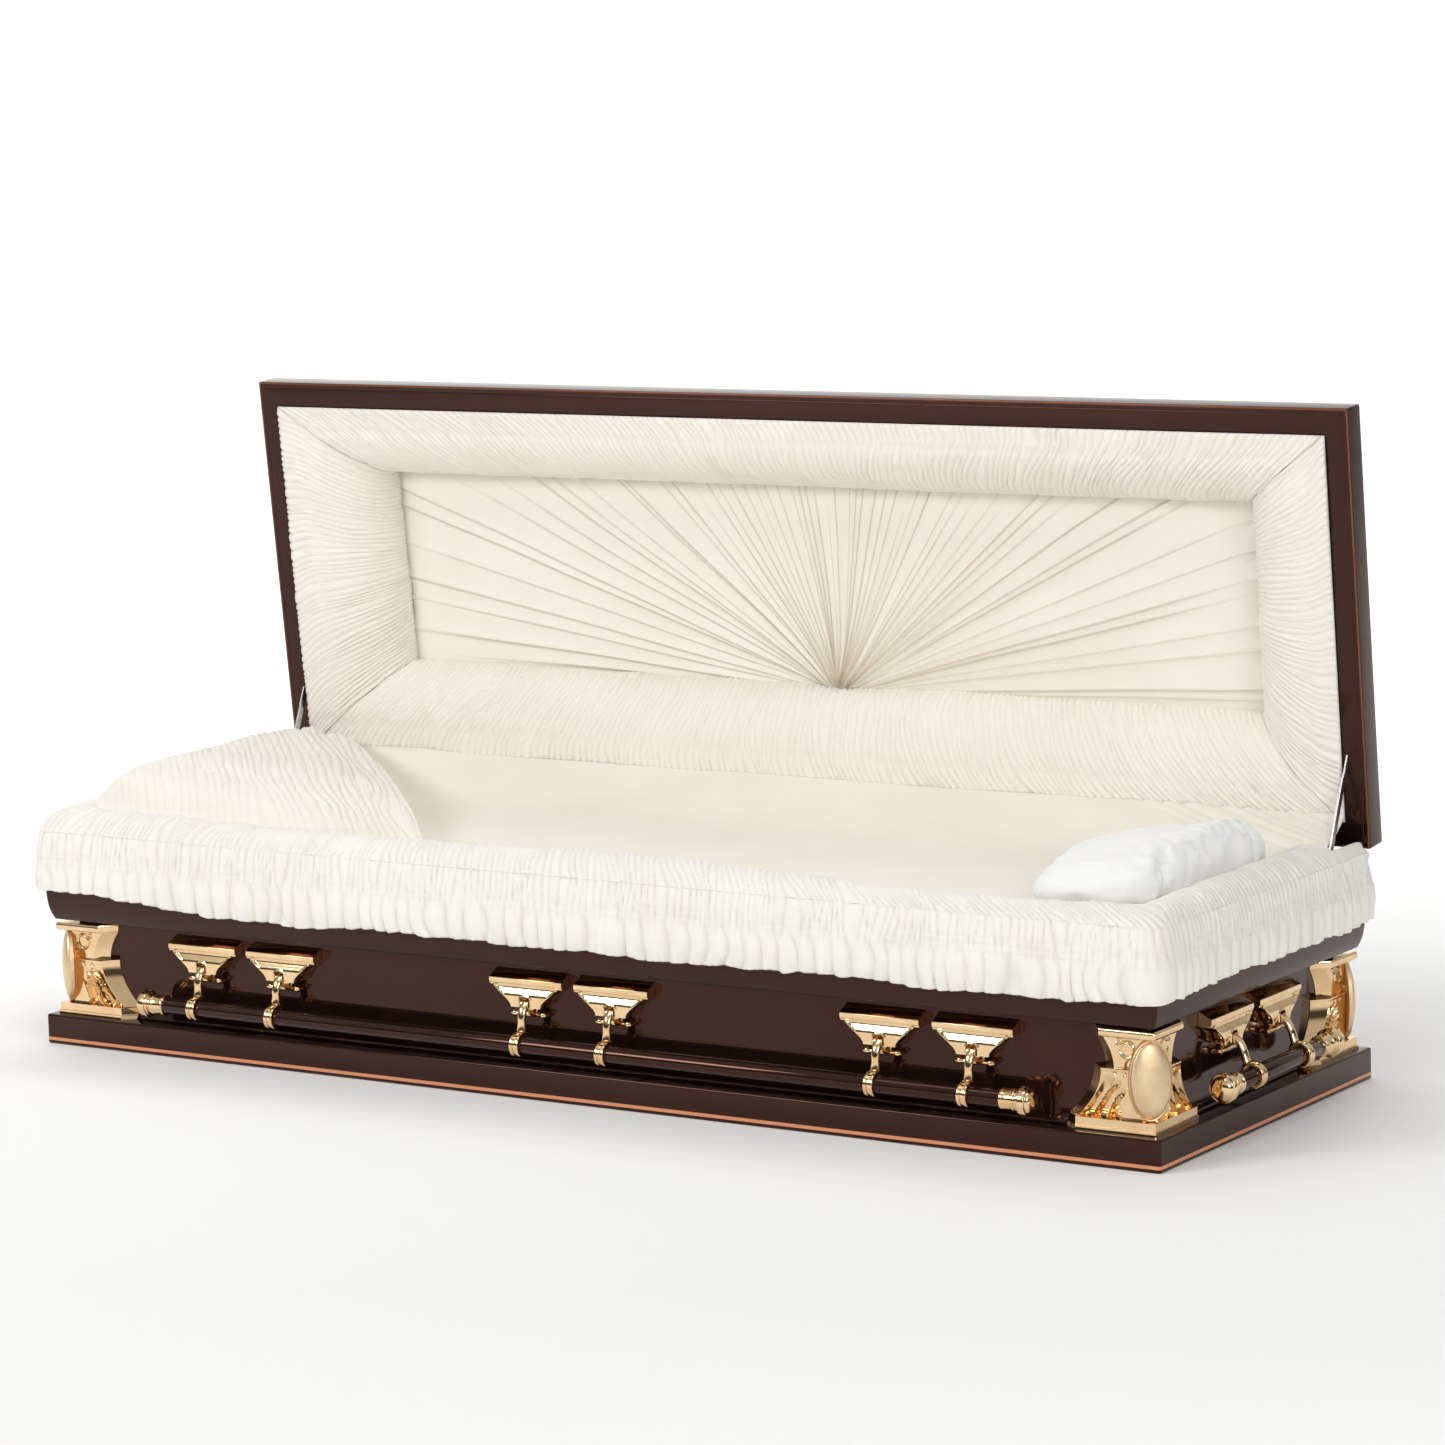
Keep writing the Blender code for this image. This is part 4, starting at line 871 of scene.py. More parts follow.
footCover = {"freeFront": (-0.300, -0.280), "freeBack": (-0.90, 0.318), "endX": -1.040, "pitch": 0.0145,
             "low": 0.3562, "rippleHeight": 0.0042, "backY": 0.300, "across": (0.727, 0.687),
             "crestY": (-0.30, -0.263, -0.23, -0.196, -0.10, 0.0, 0.20, 0.30),
             "crestZ": (0.418, 0.437, 0.449, 0.456, 0.456, 0.457, 0.452, 0.449)}


def footOverlay():
    # puffed cover: it climbs from a slanting free edge to a crest by the end wall, rippled along that edge
    rows, cols = 230, 170
    a = np.linspace(0, 1, rows)[:, None]
    b = np.linspace(0, 1, cols)[None, :]
    frontX, frontY = footCover["freeFront"]
    backX, backY = footCover["freeBack"]
    freeX = frontX + (backX - frontX) * b + 0.03 * np.sin(np.pi * b)
    freeY = frontY + (backY - frontY) * b
    endY = frontY + (footCover["backY"] - frontY) * b
    x = freeX + (footCover["endX"] - freeX) * a
    y = freeY + (endY - freeY) * a
    freeZ = 0.374 + 0.058 * b
    crestZ = np.interp(endY, footCover["crestY"], footCover["crestZ"])
    z = freeZ + (crestZ - freeZ) * np.sin(0.5 * np.pi * np.clip(a / 0.97, 0, 1)) ** 1.15
    z = z - (z - 0.398) * smoothStep(a, 0.86, 1.0) ** 1.9
    frontFall = 1 - smoothStep(b, -0.01, 0.10)
    z = z - (z - 0.390) * frontFall ** 2.2 * smoothStep(a, 0, 0.2)
    z = z - (z - footCover["low"] - 0.003) * (1 - smoothStep(a, -0.004, 0.016)) ** 2
    acrossX, acrossY = footCover["across"]
    away = acrossX * x + acrossY * y - 0.05 * np.clip(a - 0.5, 0, 1) ** 2
    down = acrossY * x - acrossX * y
    folds = gathers(away, down, footCover["pitch"], 91, 0.8, 0.22)
    fine = gathers(away, down, 0.55 * footCover["pitch"], 97, 0.8, 0.10)
    lump = valueNoise(a * 5, b * 4, 93)
    puff = smoothStep(a, 0.86, 0.97) * (1 - smoothStep(b, 0.20, 0.40))
    ripple = footCover["rippleHeight"] * (folds - 0.4) + 0.0020 * fine
    z = z + ripple * smoothStep(a, 0, 0.04) * (1 - 0.7 * puff)
    z = z + 0.004 * lump * smoothStep(a, 0, 0.1)
    front = grid(x, y, z)
    rear = grid(x, y, np.minimum(footCover["low"], z - 0.001))
    mesh = clothMesh("foot_cover", front, rear)
    # painted shade in the valleys of the ripples, less on the puff
    setFoldShade(mesh, 0.20 * valleys(folds, 1.6) * (1 - 0.7 * puff))
    piece = finished("foot_cover", mesh, crepe, "casket", ["foot_overlay"])
    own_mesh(piece)
    return piece


pillow = {"middle": (0.876, -0.035), "half": (0.130, 0.232), "low": 0.3562, "height": 0.055,
          "square": 0.66, "tilt": 0.12,
          "pressure": 3.5, "frames": 20, "cap": 0.012, "voxel": 0.006}


def pillowForm():
    # two domes on a rounded square with drawn-in sides: the height falls off as the root of 1 - r^3.6
    turn = np.linspace(0, 2 * np.pi, 120, endpoint=False)[None, :]
    up = np.linspace(-np.pi / 2, np.pi / 2, 42)[1:-1, None]
    flatShare = np.cos(up) ** 0.55
    across, along = squareCircle(turn, pillow["square"])
    drawn = 1 - 0.045 * (1 - np.abs(np.sin(2 * turn)))
    x = pillow["middle"][0] + pillow["half"][0] * flatShare * across * drawn
    y = pillow["middle"][1] + pillow["half"][1] * flatShare * along * drawn
    z = np.sin(up) * np.where(up > 0, 0.70, 0.30)
    z = pillow["low"] + pillow["height"] * (0.30 + z) + 0 * turn
    z = z + pillow["tilt"] * (x - pillow["middle"][0] + pillow["half"][0]) * smoothStep(up, -0.4, 0.5)
    return grid(x, y, z)


def simulatePillow(piece):
    # blown up a little under cloth, each point held to its cap and above the mattress, then applied
    remesh = piece.modifiers.new("Even", "REMESH")
    remesh.mode = "VOXEL"
    remesh.voxel_size = pillow["voxel"]
    graph = bpy.context.evaluated_depsgraph_get()
    piece.data = bpy.data.meshes.new_from_object(piece.evaluated_get(graph))
    piece.modifiers.clear()
    start = readPoints(piece.data)
    cloth = piece.modifiers.new("Cloth", "CLOTH")
    cloth.settings.use_pressure = True
    cloth.settings.uniform_pressure_force = pillow["pressure"]
    cloth.settings.effector_weights.gravity = 0
    cloth.settings.shrink_min = -0.04
    cloth.settings.quality = 5
    for step in range(1, pillow["frames"] + 1):
        bpy.context.scene.frame_set(step)
    graph = bpy.context.evaluated_depsgraph_get()
    settled = bpy.data.meshes.new_from_object(piece.evaluated_get(graph))
    piece.modifiers.clear()
    bpy.context.scene.frame_set(1)
    move = readPoints(settled) - start
    far = np.maximum(np.linalg.norm(move, axis=1), 1e-9)[:, None]
    move = move * np.minimum(1, pillow["cap"] / far)
    held = start + move
    held[:, 2] = np.maximum(held[:, 2], pillow["low"])
    settled.vertices.foreach_set("co", held.reshape(-1).astype(np.float32))
    piece.data = settled


def pillowPiece():
    # the form, settled as cloth, then dented and crinkled over its top
    mesh = ringsMesh("pillow_cover", pillowForm())
    piece = finished("pillow_cover", mesh, whiteCloth, "casket", ["pillow"])
    simulatePillow(piece)
    points = readPoints(piece.data)
    top = smoothStep(points[:, 2], pillow["low"] + 0.02, pillow["low"] + 0.05)
    dent = 0.007 * valueNoise(points[:, 0] / 0.08, points[:, 1] / 0.10, 101)
    edge = np.abs(points[:, 0] - pillow["middle"][0]) / pillow["half"][0] + 0.25
    crinkle = 0.0060 * gathers(points[:, 1] + 0.4 * points[:, 0], points[:, 0], 0.030, 103, 1.2,
                               0.05) * np.clip(edge, 0, 1)
    points[:, 2] += top * (dent + crinkle)
    piece.data.vertices.foreach_set("co", points.reshape(-1))
    piece.data.update()
    piece.data.shade_smooth()
    setMaterial(piece.data, whiteCloth)
    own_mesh(piece)
    return piece


ear = {"width": 0.139, "depth": 0.023, "top": 0.1885, "strip": 0.0120, "roof": 0.012, "bottom": 0.1435,
       "bottomWidth": 0.058, "face": 0.0015, "pocket": 0.0050, "barWidth": 0.068, "barHeight": 0.011,
       "barDepth": 0.018, "barDrop": 0.0065}
arm = {"reach": 0.0645, "knuckle": 0.0065, "knuckleWidth": 0.0160, "ring": 0.0200, "ringWidth": 0.0165,
       "bar": 0.0140,
       "bow": ((-0.0005, 0.0), (-0.0050, -0.22), (-0.0052, -0.50), (-0.0020, -0.78), (0.0, -1.0)),
       "widths": ((0, 0.12, 0.30, 0.60, 0.80, 1.0), (0.0080, 0.0083, 0.0077, 0.0070, 0.0078, 0.0083)),
       "depths": ((0, 0.2, 0.6, 0.85, 1.0), (0.0066, 0.0064, 0.0056, 0.0060, 0.0068))}
# beads: distance from the end of the bar, and radius as a share of the cap's or the sleeve's
bar = {"sleeve": 0.0172, "cap": 0.0228, "tip": 0.056,
       "capBeads": ((0.0095, 0.84), (0.0100, 0.97), (0.0125, 1), (0.0205, 1), (0.0225, 0.95), (0.0232, 0.84),
                    (0.0262, 0.84)),
       "sleeveBeads": ((0.027, 0.92), (0.0300, 0.92), (0.0306, 1.02), (0.0345, 1.02), (0.0350, 0.97),
                       (0.0505, 0.95), (0.0510, 1), (0.0548, 1))}
handle = {"wallInset": 0.043, "pivotInset": 0.020, "pivotHeight": 0.149, "spacing": 0.1625,
          "outerPair": 0.6535, "endSpacing": 0.160, "sideBar": 1.706, "endBar": 0.386, "sideHang": 18.0,
          "endHang": 31.5}


def bevelled(outline, start, end, bevel, shrink=0.9):
    # an (y, z) outline carried along X, drawn in a little at both ends
    middle = outline.mean(axis=0)
    small = middle + (outline - middle) * shrink
    rings = []
    for x, line in ((start, small), (start + bevel, outline), (end - bevel, outline), (end, small)):
        rings.append(np.hstack([np.full((len(line), 1), x), line]))
    return ringsMesh("bar", np.array(rings), 35)


def earMesh():
    # strip and foot bar are carried along X; the shield is a stack of level rings, hollow under the strip
    half = ear["width"] / 2
    stripBottom = ear["top"] - ear["strip"]
    outline = closedRound([(0, stripBottom), (-ear["depth"] + 0.002, stripBottom),
                           (-ear["depth"] + 0.002, stripBottom + 0.0032),
                           (-ear["depth"], stripBottom + 0.0036),
                           (-ear["depth"], ear["top"]), (0, ear["top"] + ear["roof"])], 0.0007)
    strip = bevelled(outline, -half, half, 0.0008, 0.97)
    z = np.concatenate([np.linspace(ear["bottom"], ear["bottom"] + 0.001, 3)[:-1],
                        np.linspace(ear["bottom"] + 0.001, stripBottom + 0.001, 34)])[:, None]
    rise = (z - ear["bottom"]) / (stripBottom - ear["bottom"])
    shoulder = half - 0.0085
    width = np.interp(rise, (0, 0.12, 0.30, 0.52, 0.72, 0.84, 0.93, 1.0),
                      (ear["bottomWidth"] / 2, 0.0300, 0.0345, 0.0430, 0.0530, shoulder - 0.003, shoulder,
                       shoulder))
    across = np.linspace(-1, 1, 61)[None, :]
    x = across * width
    fromEdge = width - np.abs(x)
    pocket = smoothStep(z, stripBottom - 0.019, stripBottom - 0.001) ** 1.6 * smoothStep(fromEdge, 0.0030,
                                                                                         0.0080)
    slotTop = handle["pivotHeight"] + arm["knuckle"] + 0.0045 * np.sqrt(np.clip(1 - (x / 0.0088) ** 2, 0, 1))
    slot = smoothStep(0.0088 - np.abs(x), -0.0004, 0.0004) * smoothStep(slotTop - z, -0.0004, 0.0004)
    frameEdge = smoothStep(0.0118 - np.abs(x), -0.0004, 0.0004) * smoothStep(slotTop + 0.003 - z, -0.0004,
                                                                             0.0004)
    depth = ear["depth"] + ear["face"] - ear["pocket"] * pocket - 0.0016 * smoothStep(fromEdge, 0.0014, 0.0)
    depth = depth + 0.0012 * frameEdge - slot * (ear["depth"] - 0.006)
    front = grid(x, -depth, z)
    rear = grid(x[:, ::-1], 0.0, z)
    shield = ringsMesh("shield", np.concatenate([front, rear[:, ::12]], axis=1), 50)
    barTop = ear["bottom"] - ear["barDrop"]
    barMiddle = barTop - ear["barHeight"] / 2
    place = np.linspace(-1, 1, 41)
    lobe = 0.62 + 0.38 * np.exp(-((np.abs(place) - 0.80) / 0.13) ** 2) + 0.2 * np.exp(-(place / 0.25) ** 2)
    lobe = lobe * np.sqrt(np.clip(1 - np.abs(place) ** 14, 0.05, 1))
    turn = np.linspace(0, 2 * np.pi, 20, endpoint=False)
    squareC, squareS = squareCircle(turn, 0.6)
    lobe = lobe[:, None]
    footPoints = grid(place[:, None] * ear["barWidth"] / 2,
                      -ear["barDepth"] / 2 + ear["barDepth"] / 2 * squareC * (0.8 + 0.2 * lobe),
                      barMiddle + ear["barHeight"] / 2 * squareS * lobe)
    foot = ringsMesh("foot", footPoints, 40)
    stemOutline = closedRound([(0, barTop - 0.003), (-0.008, barTop - 0.003), (-0.008, ear["bottom"] + 0.003),
                               (0, ear["bottom"] + 0.003)], 0.001)
    stem = bevelled(stemOutline, -0.012, 0.012, 0.001)
    return joined("ear", [strip, shield, foot, stem])


def sweptMesh(name, path, widths, depths, sides=14):
    # ellipses carried down a path in the Y-Z plane, wide in X
    ahead = directions(path)
    aside = np.stack([-ahead[:, 1], ahead[:, 0]], -1)
    turn = np.linspace(0, 2 * np.pi, sides, endpoint=False)
    x = widths[:, None] * np.cos(turn)
    y = path[:, :1] + aside[:, :1] * depths[:, None] * np.sin(turn)
    z = path[:, 1:] + aside[:, 1:] * depths[:, None] * np.sin(turn)
    return ringsMesh(name, np.stack([x, y, z], -1), 60)


def armMesh():
    # knuckle, slender shank with a bow, saddle that spreads over the ring, and the ring's two bands
    knuckleHalf = arm["knuckleWidth"] / 2
    half = [(-knuckleHalf, 0.0001), (-knuckleHalf, arm["knuckle"]), (-0.003, arm["knuckle"]),
            (-0.0022, arm["knuckle"] * 0.86)]
    knuckle = turnedMesh("knuckle", rounded(half + [(-x, radius) for x, radius in half[::-1]], 0.0009, 3), 24)
    length = arm["reach"] - arm["ring"] + 0.002
    path = smoothCurve([(y, down * length) for y, down in arm["bow"]], 26)
    down = np.linspace(0, 1, 26)
    shank = sweptMesh("shank", path, np.interp(down, *arm["widths"]), np.interp(down, *arm["depths"]))
    wide = arm["ringWidth"] / 2
    bore = arm["bar"] + 0.0003
    ringHalf = [(-wide, bore), (-wide, arm["ring"] - 0.0010), (-wide + 0.0012, arm["ring"]),
                (-0.0024, arm["ring"]), (-0.0016, arm["ring"] - 0.0026)]
    section = closedRound(ringHalf + [(-x, radius) for x, radius in ringHalf[::-1]], 0.0006, 2)
    turn = np.linspace(0, 2 * np.pi, 40, endpoint=False)[:, None]
    ringPoints = grid(section[:, 0], section[:, 1] * np.sin(turn),
                      -arm["reach"] + section[:, 1] * np.cos(turn))
    ring = ringsMesh("ring", ringPoints, 40, joinEnds=True)
    saddleTurn = np.linspace(-1, 1, 15)
    saddlePath = np.stack([(arm["ring"] + 0.0004) * np.sin(saddleTurn * 0.85),
                           -arm["reach"] + (arm["ring"] + 0.0004) * np.cos(saddleTurn * 0.85)], -1)
    saddle = sweptMesh("saddle", saddlePath, 0.0098 - 0.0070 * np.abs(saddleTurn) ** 1.3,
                       0.0034 - 0.0024 * np.abs(saddleTurn))
    return joined("arm", [knuckle, shank, ring, saddle])


def barProfile(barLength):
    # half of the bar as (distance from its end, radius): domed cap, turned beads, sleeve, flare to the rod
    cap = bar["cap"]
    sleeve = bar["sleeve"]
    turn = np.linspace(0.02, np.pi / 2, 10)
    dome = np.stack([0.0085 * (1 - np.cos(turn)), 0.82 * cap * np.sin(turn)], -1)
    beads = [dome[-1]] + [(x, cap * share) for x, share in bar["capBeads"]]
    beads += [(x, sleeve * share) for x, share in bar["sleeveBeads"]]
    beads += [(bar["tip"], arm["bar"] + 0.0004), (bar["tip"] + 0.0004, arm["bar"] - 0.0010)]
    beads = rounded(beads, 0.0006, 2)
    return np.vstack([dome, beads[1:]])


def buildHandles():
    # one ear and one arm at every place, and each bar with its two tips, hung at its resting angle
    earForm = earMesh()
    armForm = armMesh()
    apart = handle["spacing"] / 2
    longPlaces = [-handle["outerPair"] - apart, -handle["outerPair"] + apart, -apart,
                  apart, handle["outerPair"] - apart, handle["outerPair"] + apart]
    endPlaces = [-handle["endSpacing"] / 2, handle["endSpacing"] / 2]
    sides = (("front", 0.0, halfWidth, longPlaces, handle["sideBar"], handle["sideHang"]),
             ("right", math.pi / 2, halfLength, endPlaces, handle["endBar"], handle["endHang"]),
             ("back", math.pi, halfWidth, longPlaces, handle["sideBar"], handle["sideHang"]),
             ("left", -math.pi / 2, halfLength, endPlaces, handle["endBar"], handle["endHang"]))
    for side, turn, half, places, barLength, hang in sides:
        around = Matrix.Rotation(turn, 4, "Z")
        axis = around @ Vector((0, -(half - handle["pivotInset"]), handle["pivotHeight"]))
        swing = Matrix.Translation(axis) @ around @ Matrix.Rotation(-math.radians(hang), 4, "X")
        rider = f"handle_{side}"
        for index, x in enumerate(places, 1):
            seat = around @ Matrix.Translation((x, -(half - handle["wallInset"]) - 0.0003, 0))
            finished(f"bracket_{side}_{index}", moved(earForm, seat), gilt, "casket",
                     [f"ear_{side}_{index}"])
            finished(f"swing_arm_{side}_{index}", moved(armForm, swing @ Matrix.Translation((x, 0, 0))),
                     gilt, rider,
                     [f"arm_{side}_{index}"])
        profile = barProfile(barLength)
        tip = np.vstack([profile, [(bar["tip"] + 0.004, arm["bar"] - 0.0010), (bar["tip"] + 0.004, 0.0001)]])
        tip[:, 0] -= barLength / 2
        hung = swing @ Matrix.Translation((0, 0, -arm["reach"]))
        leftTip = turnedMesh("tip", tip, 40)
        rightTip = moved(leftTip, Matrix.Rotation(math.pi, 4, "Z"))
        finished(f"bar_tips_{side}", moved(joined("tips", [leftTip, rightTip]), hung), gilt, rider,
                 [f"bar_{side}"])
        reach = barLength / 2 - bar["tip"] - 0.0008
        rod = rounded([(-reach, 0.0001), (-reach, arm["bar"]), (reach, arm["bar"]), (reach, 0.0001)],
                      0.0005, 2)
        finished(f"bar_rod_{side}", moved(turnedMesh("rod", rod, 48), hung), bodyEnamel, rider,
                 [f"bar_{side}"])


casting = {"floor": plinthTop + 0.0003, "baseHeight": 0.0185, "baseInset": 0.0150, "baseReach": 0.150,
           "step": 0.0020,
           "stepHeight": 0.0060, "shelf": 0.1460, "shelfReach": 0.1080, "neckReach": 0.0887, "top": 0.2060,
           "barHeight": 0.0125, "barInset": 0.0155, "face": 0.0215, "lean": 0.0045, "side": 0.022,
           "chamfer": 0.0340, "flute": 0.0070,
           # foot, slope and share of the skirt's height for each rib; place and radius of leaves and disc
           "ribs": ((0.128, 0.722, 0.86), (0.103, 0.525, 0.78), (0.080, 0.290, 0.62)),
           "bigLeaf": (0.066, 0.1755, 0.012), "smallLeaf": (0.080, 0.187, 0.004),
           "disc": (0.056, 0.148, 0.015), "dots": (0.086, 0.068), "dotZ": 0.1375}


def castingMesh():
    # level rings: face and reach of the foot, the flared skirt and its ribs, the waisted neck and the top bar
    floor = casting["floor"]
    baseTop = floor + casting["baseHeight"]
    barBottom = casting["top"] - casting["barHeight"]
    step = 0.0005
    z = np.concatenate([np.linspace(floor, floor + casting["stepHeight"], 4),
                        np.linspace(floor + casting["stepHeight"] + step, baseTop, 8),
                        np.linspace(baseTop + step, casting["shelf"], 64),
                        np.linspace(casting["shelf"] + step, barBottom - step, 40),
                        np.linspace(barBottom, casting["top"], 10)])[:, None]
    skirt = (z > baseTop) & (z <= casting["shelf"])
    neck = (z > casting["shelf"]) & (z < barBottom)
    share = np.clip((casting["shelf"] - z) / (casting["shelf"] - baseTop), 0, 1)
    up = np.clip((z - casting["shelf"]) / (barBottom - casting["shelf"]), 0, 1)
    crown = np.clip((z - barBottom) / casting["barHeight"], 0, 1)
    face = np.where(z <= floor + casting["stepHeight"], casting["baseInset"],
                    casting["baseInset"] + casting["step"])
    nose = 0.0012 * np.exp(-((share - 0.02) / 0.03) ** 2)
    face = np.where(skirt, casting["face"] + casting["lean"] * share - nose, face)
    face = np.where(neck, casting["face"] + casting["lean"], face)
    roundOff = 0.0022 * (1 - np.sqrt(np.clip(1 - (2 * crown - 1) ** 2, 0, 1)))
    face = np.where(z >= barBottom, casting["barInset"] + roundOff, face)
    spread = (casting["baseReach"] - casting["shelfReach"]) * share ** 2
    reach = np.where(skirt, casting["shelfReach"] + spread, casting["baseReach"])
    spread = (casting["shelfReach"] - casting["neckReach"]) * up ** 2
    reach = np.where(neck, casting["neckReach"] + spread, reach)
    reach = np.where(z >= barBottom, casting["shelfReach"], reach)
    cut = np.where(skirt | neck, 2 * casting["chamfer"] - face, face + 0.0012)
    back = np.interp(z, (floor, floor + 0.008, 0.070, 0.082), (0.0298, 0.0362, 0.0415, 0.0427)) - 0.0003
    c = np.linspace(0, 1, 46)[None, :]
    s = reach + (cut - reach) * c
    rise = z - baseTop
    ribLift = np.zeros_like(s)
    fluteCut = np.zeros_like(s)
    before = reach
    for foot, slope, topShare in casting["ribs"]:
        rib = foot - slope * rise
        top = topShare * (casting["shelf"] - baseTop)
        alive = smoothStep(top - rise, -0.002, 0.022)
        ribLift = np.maximum(ribLift, alive * np.exp(-((s - rib) / 0.0018) ** 2))
        inside = smoothStep(s - rib, 0.0010, 0.0030) * smoothStep(before - s, 0.0010, 0.0090)
        fluteCut = np.maximum(fluteCut, alive * inside * (1 + 0.4 * smoothStep(0.010 - rise, 0.0, 0.004)))
        before = rib
    inset = face + np.where(skirt, casting["flute"] * fluteCut - 0.0016 * ribLift, 0.0)

    def within(mark):
        # how far inside the mark's circle a point lies
        return casting[mark][2] - np.hypot(s - casting[mark][0], z - casting[mark][1])

    bigLeaf = np.exp(-(within("bigLeaf") / 0.0016) ** 2)
    smallLeaf = np.exp(-(within("smallLeaf") / 0.0014) ** 2)
    disc = smoothStep(within("disc"), 0.0, 0.0012)
    inset = inset + np.where(neck, 0.0024 * bigLeaf + 0.0020 * smallLeaf + 0.0040 * disc, 0.0)
    shelfDots = 0.0
    for dot in casting["dots"]:
        shelfDots = shelfDots + np.exp(-(np.hypot(s - dot, z - casting["dotZ"]) / 0.0022) ** 2)
    inset = inset + np.where(skirt, 0.003 * shelfDots, 0.0)
    inset = np.minimum(inset, back - 0.0004)
    sideA = np.concatenate([reach + casting["side"], s], axis=1)
    sideB = np.concatenate([back + 0 * reach, inset], axis=1)
    a = np.concatenate([sideA, sideB[:, ::-1], back], axis=1)
    b = np.concatenate([sideB, sideA[:, ::-1], back], axis=1)
    points = np.stack([halfLength - a, -halfWidth + b, z + 0 * a], -1)
    return ringsMesh("casting", points, 28)


medallion = {"halfWidth": 0.0332, "rim": 0.0062, "dome": 0.0105, "gap": 0.0004}


def medallionMesh():
    # an oval dome in a low rim: rings of an ellipse, drawn in as they come forward
    room = casting["top"] - casting["barHeight"] - casting["floor"] - casting["baseHeight"]
    half = room / 2 - medallion["gap"]
    turn = np.linspace(0, 2 * np.pi, 72, endpoint=False)
    rim = rounded([(1.0, 0.0), (1.0, medallion["rim"]), (0.975, medallion["rim"] + 0.0016),
                   (0.945, medallion["rim"] + 0.0010),
                   (0.935, medallion["rim"] - 0.0004), (0.925, medallion["rim"] - 0.0002)], 0.0007, 3)
    bow = np.linspace(0.06, 1.0, 24)
    dome = np.stack([0.925 * np.cos(bow * np.pi / 2) + 0.002,
                     medallion["rim"] + medallion["dome"] * np.sin(bow * np.pi / 2)], -1)
    line = np.vstack([rim, dome])
    points = np.stack([line[:, :1] * medallion["halfWidth"] * np.cos(turn), -line[:, 1:] + 0 * turn,
                       line[:, :1] * half * np.sin(turn)], -1)
    return ringsMesh("medallion", points, 40)


def buildCorners():
    # one casting mirrored to the four corners, each with its plaque turned to the diagonal
    form = castingMesh()
    plaque = medallionMesh()
    height = (casting["top"] - casting["barHeight"] + casting["floor"] + casting["baseHeight"]) / 2
    corners = ((1, -1), (1, 1), (-1, 1), (-1, -1))
    for index, (signX, signY) in enumerate(corners, 1):
        finished(f"corner_mount_{index}", mirroredMesh(form, signX, -signY), gilt, "casket",
                 [f"corner_casting_{index}"])
        inset = casting["chamfer"] - 0.0003
        seat = Vector((signX * (halfLength - inset), signY * (halfWidth - inset), height))
        facing = math.atan2(signY, signX) + math.pi / 2
        turned = Matrix.Translation(seat) @ Matrix.Rotation(facing, 4, "Z")
        finished(f"oval_plaque_{index}", moved(plaque, turned), satinGilt, "casket",
                 [f"corner_medallion_{index}"])


stay = {"width": 0.0055, "thickness": 0.0014, "length": 0.200, "joggle": 0.0030, "lean": 24.0}


def buildStays():
    # a flat bar with round ends that steps aside near its top, and the rivet it turns on
    for name, sign in (("lid_stay_left", -1), ("lid_stay_right", 1)):
        low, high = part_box(name)
        pivot = Vector(((low[0] + high[0]) / 2, high[1] - 0.0060, high[2] - 0.0060))
        down = np.linspace(0, 1, 60)[:, None]
        ends = np.sqrt(np.clip(1 - np.clip(np.abs(down - 0.5) * 2 * 106 - 100, 0, 5.99) ** 2 / 36, 0.002, 1))
        aside = -sign * stay["joggle"] * 0.4 * (smoothStep(down, 0.20, 0.26) - 0.5)
        corner = np.array([(-1, -1), (1, -1), (1, 1), (-1, 1)])
        x = aside + stay["thickness"] * corner[:, 0]
        y = stay["width"] * ends * corner[:, 1]
        z = 0.0060 - (stay["length"] + 0.0120) * down + 0 * x
        strip = ringsMesh("stay", grid(x, y, z), 30)
        head = rounded([(-0.0014, 0.0001), (-0.0014, 0.0042), (0.0014, 0.0042), (0.0014, 0.0001)], 0.0008, 3)
        rivet = turnedMesh("rivet", head, 20)
        turned = Matrix.Translation(pivot) @ Matrix.Rotation(-math.radians(stay["lean"]), 4, "X")
        finished(name + "_bar", moved(joined("stay", [strip, rivet]), turned), nickel, "lid_stays",
                 [name])


print("base, body and lid")
basePlinth()
bodyShell()
lidShell()
print("corner castings and handles")
buildCorners()
buildHandles()
buildStays()
for node in ("hinge_leaf_body", "hinge_leaf_lid", "bed_frame"):
    setMaterial(frame["nodes"][node].data, nickel)
print("lid lining")
for number, edge in enumerate(("free", "right", "hinge", "left")):
    liningBand(f"lining_{edge}", edge, 11 + 20 * number)
sunburstPanel()
print("cloth of the bed")
railRoll()
railRuffle()
mattressCover()
apron()
footOverlay()
pillowPiece()


lights = {"key": ((-3.0, -4.8, 3.2), (0, 0, 0.5), (2.2, 1.6), 124),
          "fill": ((4.6, -3.4, 2.0), (0.4, 0, 0.4), (2.4, 1.6), 78),
          "top": ((0.6, -1.6, 3.8), (0, 0.1, 0.4), (3.0, 0.8), 22),
          "backdrop": ((-2.0, 3.0, 6.5), (-4.5, 9.0, 1.5), (6.0, 3.0), 700)}
view = {"place": (4.4216, -6.6447, 1.7461), "yaw": 33.1156, "pitch": 8.4855, "roll": -1.6673, "lens": 124.26}


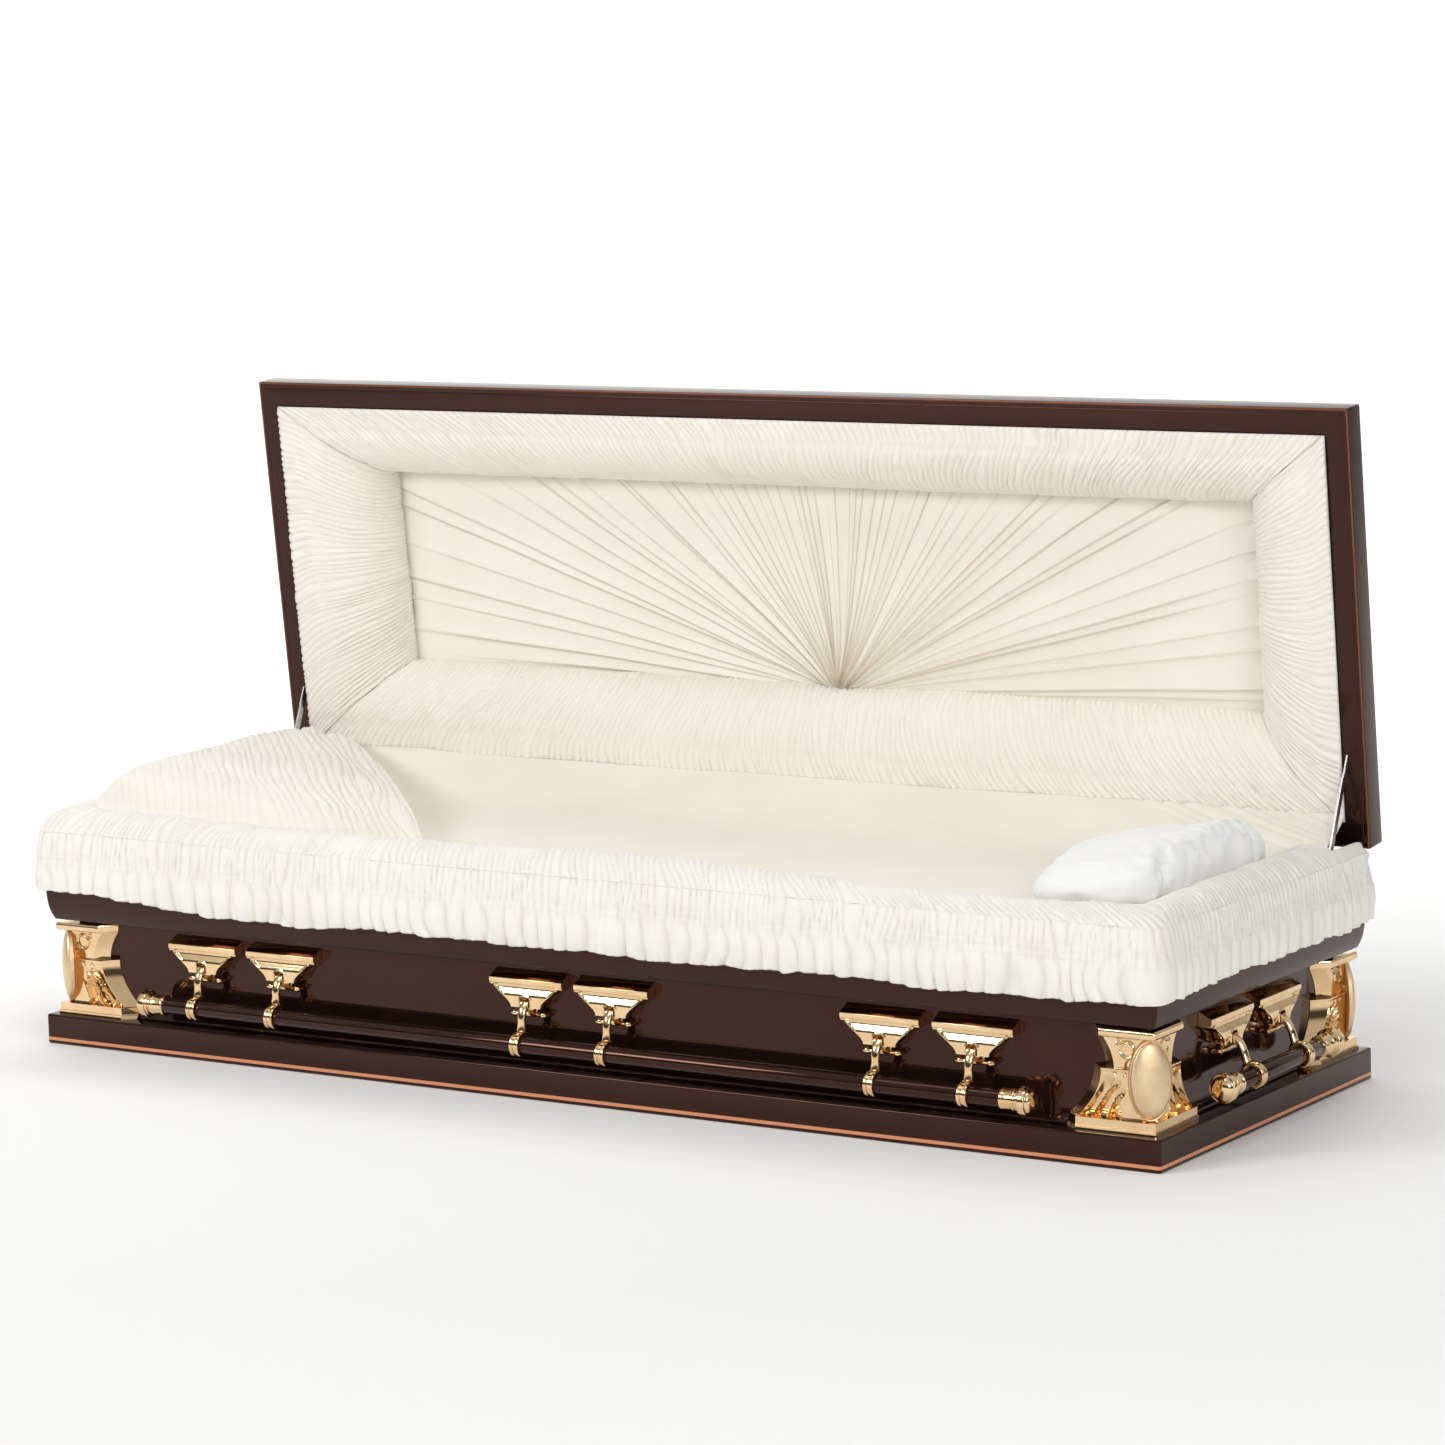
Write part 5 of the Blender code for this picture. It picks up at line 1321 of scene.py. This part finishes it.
def buildCamera():
    # placed by position, yaw, pitch and roll
    yaw = math.radians(view["yaw"])
    pitch = math.radians(view["pitch"])
    roll = math.radians(view["roll"])
    ahead = Vector((-math.sin(yaw) * math.cos(pitch), math.cos(yaw) * math.cos(pitch), -math.sin(pitch)))
    right = Vector((math.cos(yaw), math.sin(yaw), 0))
    up = right.cross(ahead)
    turnedRight = math.cos(roll) * right + math.sin(roll) * up
    turnedUp = -math.sin(roll) * right + math.cos(roll) * up
    data = bpy.data.cameras.new("camera")
    data.sensor_width = 36
    data.lens = view["lens"]
    data.clip_end = 200
    camera = addObject("camera", data)
    axes = Matrix((turnedRight, turnedUp, -ahead)).transposed().to_4x4()
    camera.matrix_world = Matrix.Translation(view["place"]) @ axes
    bpy.context.scene.camera = camera


def buildStage():
    # floor that curves up into a backdrop behind the casket, square to the camera
    line = rounded([(-30.0, 0.0), (14.0, 0.0), (14.0, 14.0)], 7.0, 24)
    side = np.array([-30.0, 30.0])
    points = grid(side[None, :], line[:, :1], line[:, 1:])
    index = np.arange(points.shape[0] * 2).reshape(-1, 2)
    mesh = bpy.data.meshes.new("floor")
    mesh.from_pydata(points.reshape(-1, 3).tolist(), [], quadsOf(index)[:, ::-1].tolist())
    mesh.transform(Matrix.Rotation(math.radians(view["yaw"]), 4, "Z"))
    mesh.shade_smooth()
    material, _, shader = newMaterial("floor_paper")
    shader.inputs["Base Color"].default_value = (0.97, 0.97, 0.97, 1)
    shader.inputs["Roughness"].default_value = 0.9
    mesh.materials.append(material)
    floor = addObject("floor", mesh)


def areaLight(name, place, target, size, power):
    # a soft rectangular light aimed at the target
    data = bpy.data.lights.new(name, "AREA")
    data.shape = "RECTANGLE"
    data.size, data.size_y = size
    data.energy = power
    light = addObject(name, data)
    light.location = place
    light.rotation_euler = (Vector(target) - Vector(place)).to_track_quat("-Z", "Y").to_euler()


def buildLights():
    # white room with a dim band low on the walls, so that polished metal has something dark to show
    world = bpy.data.worlds.new("studio")
    world.use_nodes = True
    tree = world.node_tree
    wall = rampNode(tree, heightOf(tree, "Generated"),
                    [(0.02, (0.55, 0.55, 0.55)), (0.05, (0.06, 0.055, 0.05)),
                                               (0.22, (0.06, 0.055, 0.05)), (0.30, (0.62, 0.62, 0.61))])
    tree.links.new(wall.outputs["Color"], tree.nodes["Background"].inputs["Color"])
    tree.nodes["Background"].inputs["Strength"].default_value = 0.84
    bpy.context.scene.world = world
    bpy.context.scene.view_settings.view_transform = "Standard"
    for name, (place, target, size, power) in lights.items():
        areaLight(name, place, target, size, power)


print("studio")
buildCamera()
buildStage()
buildLights()
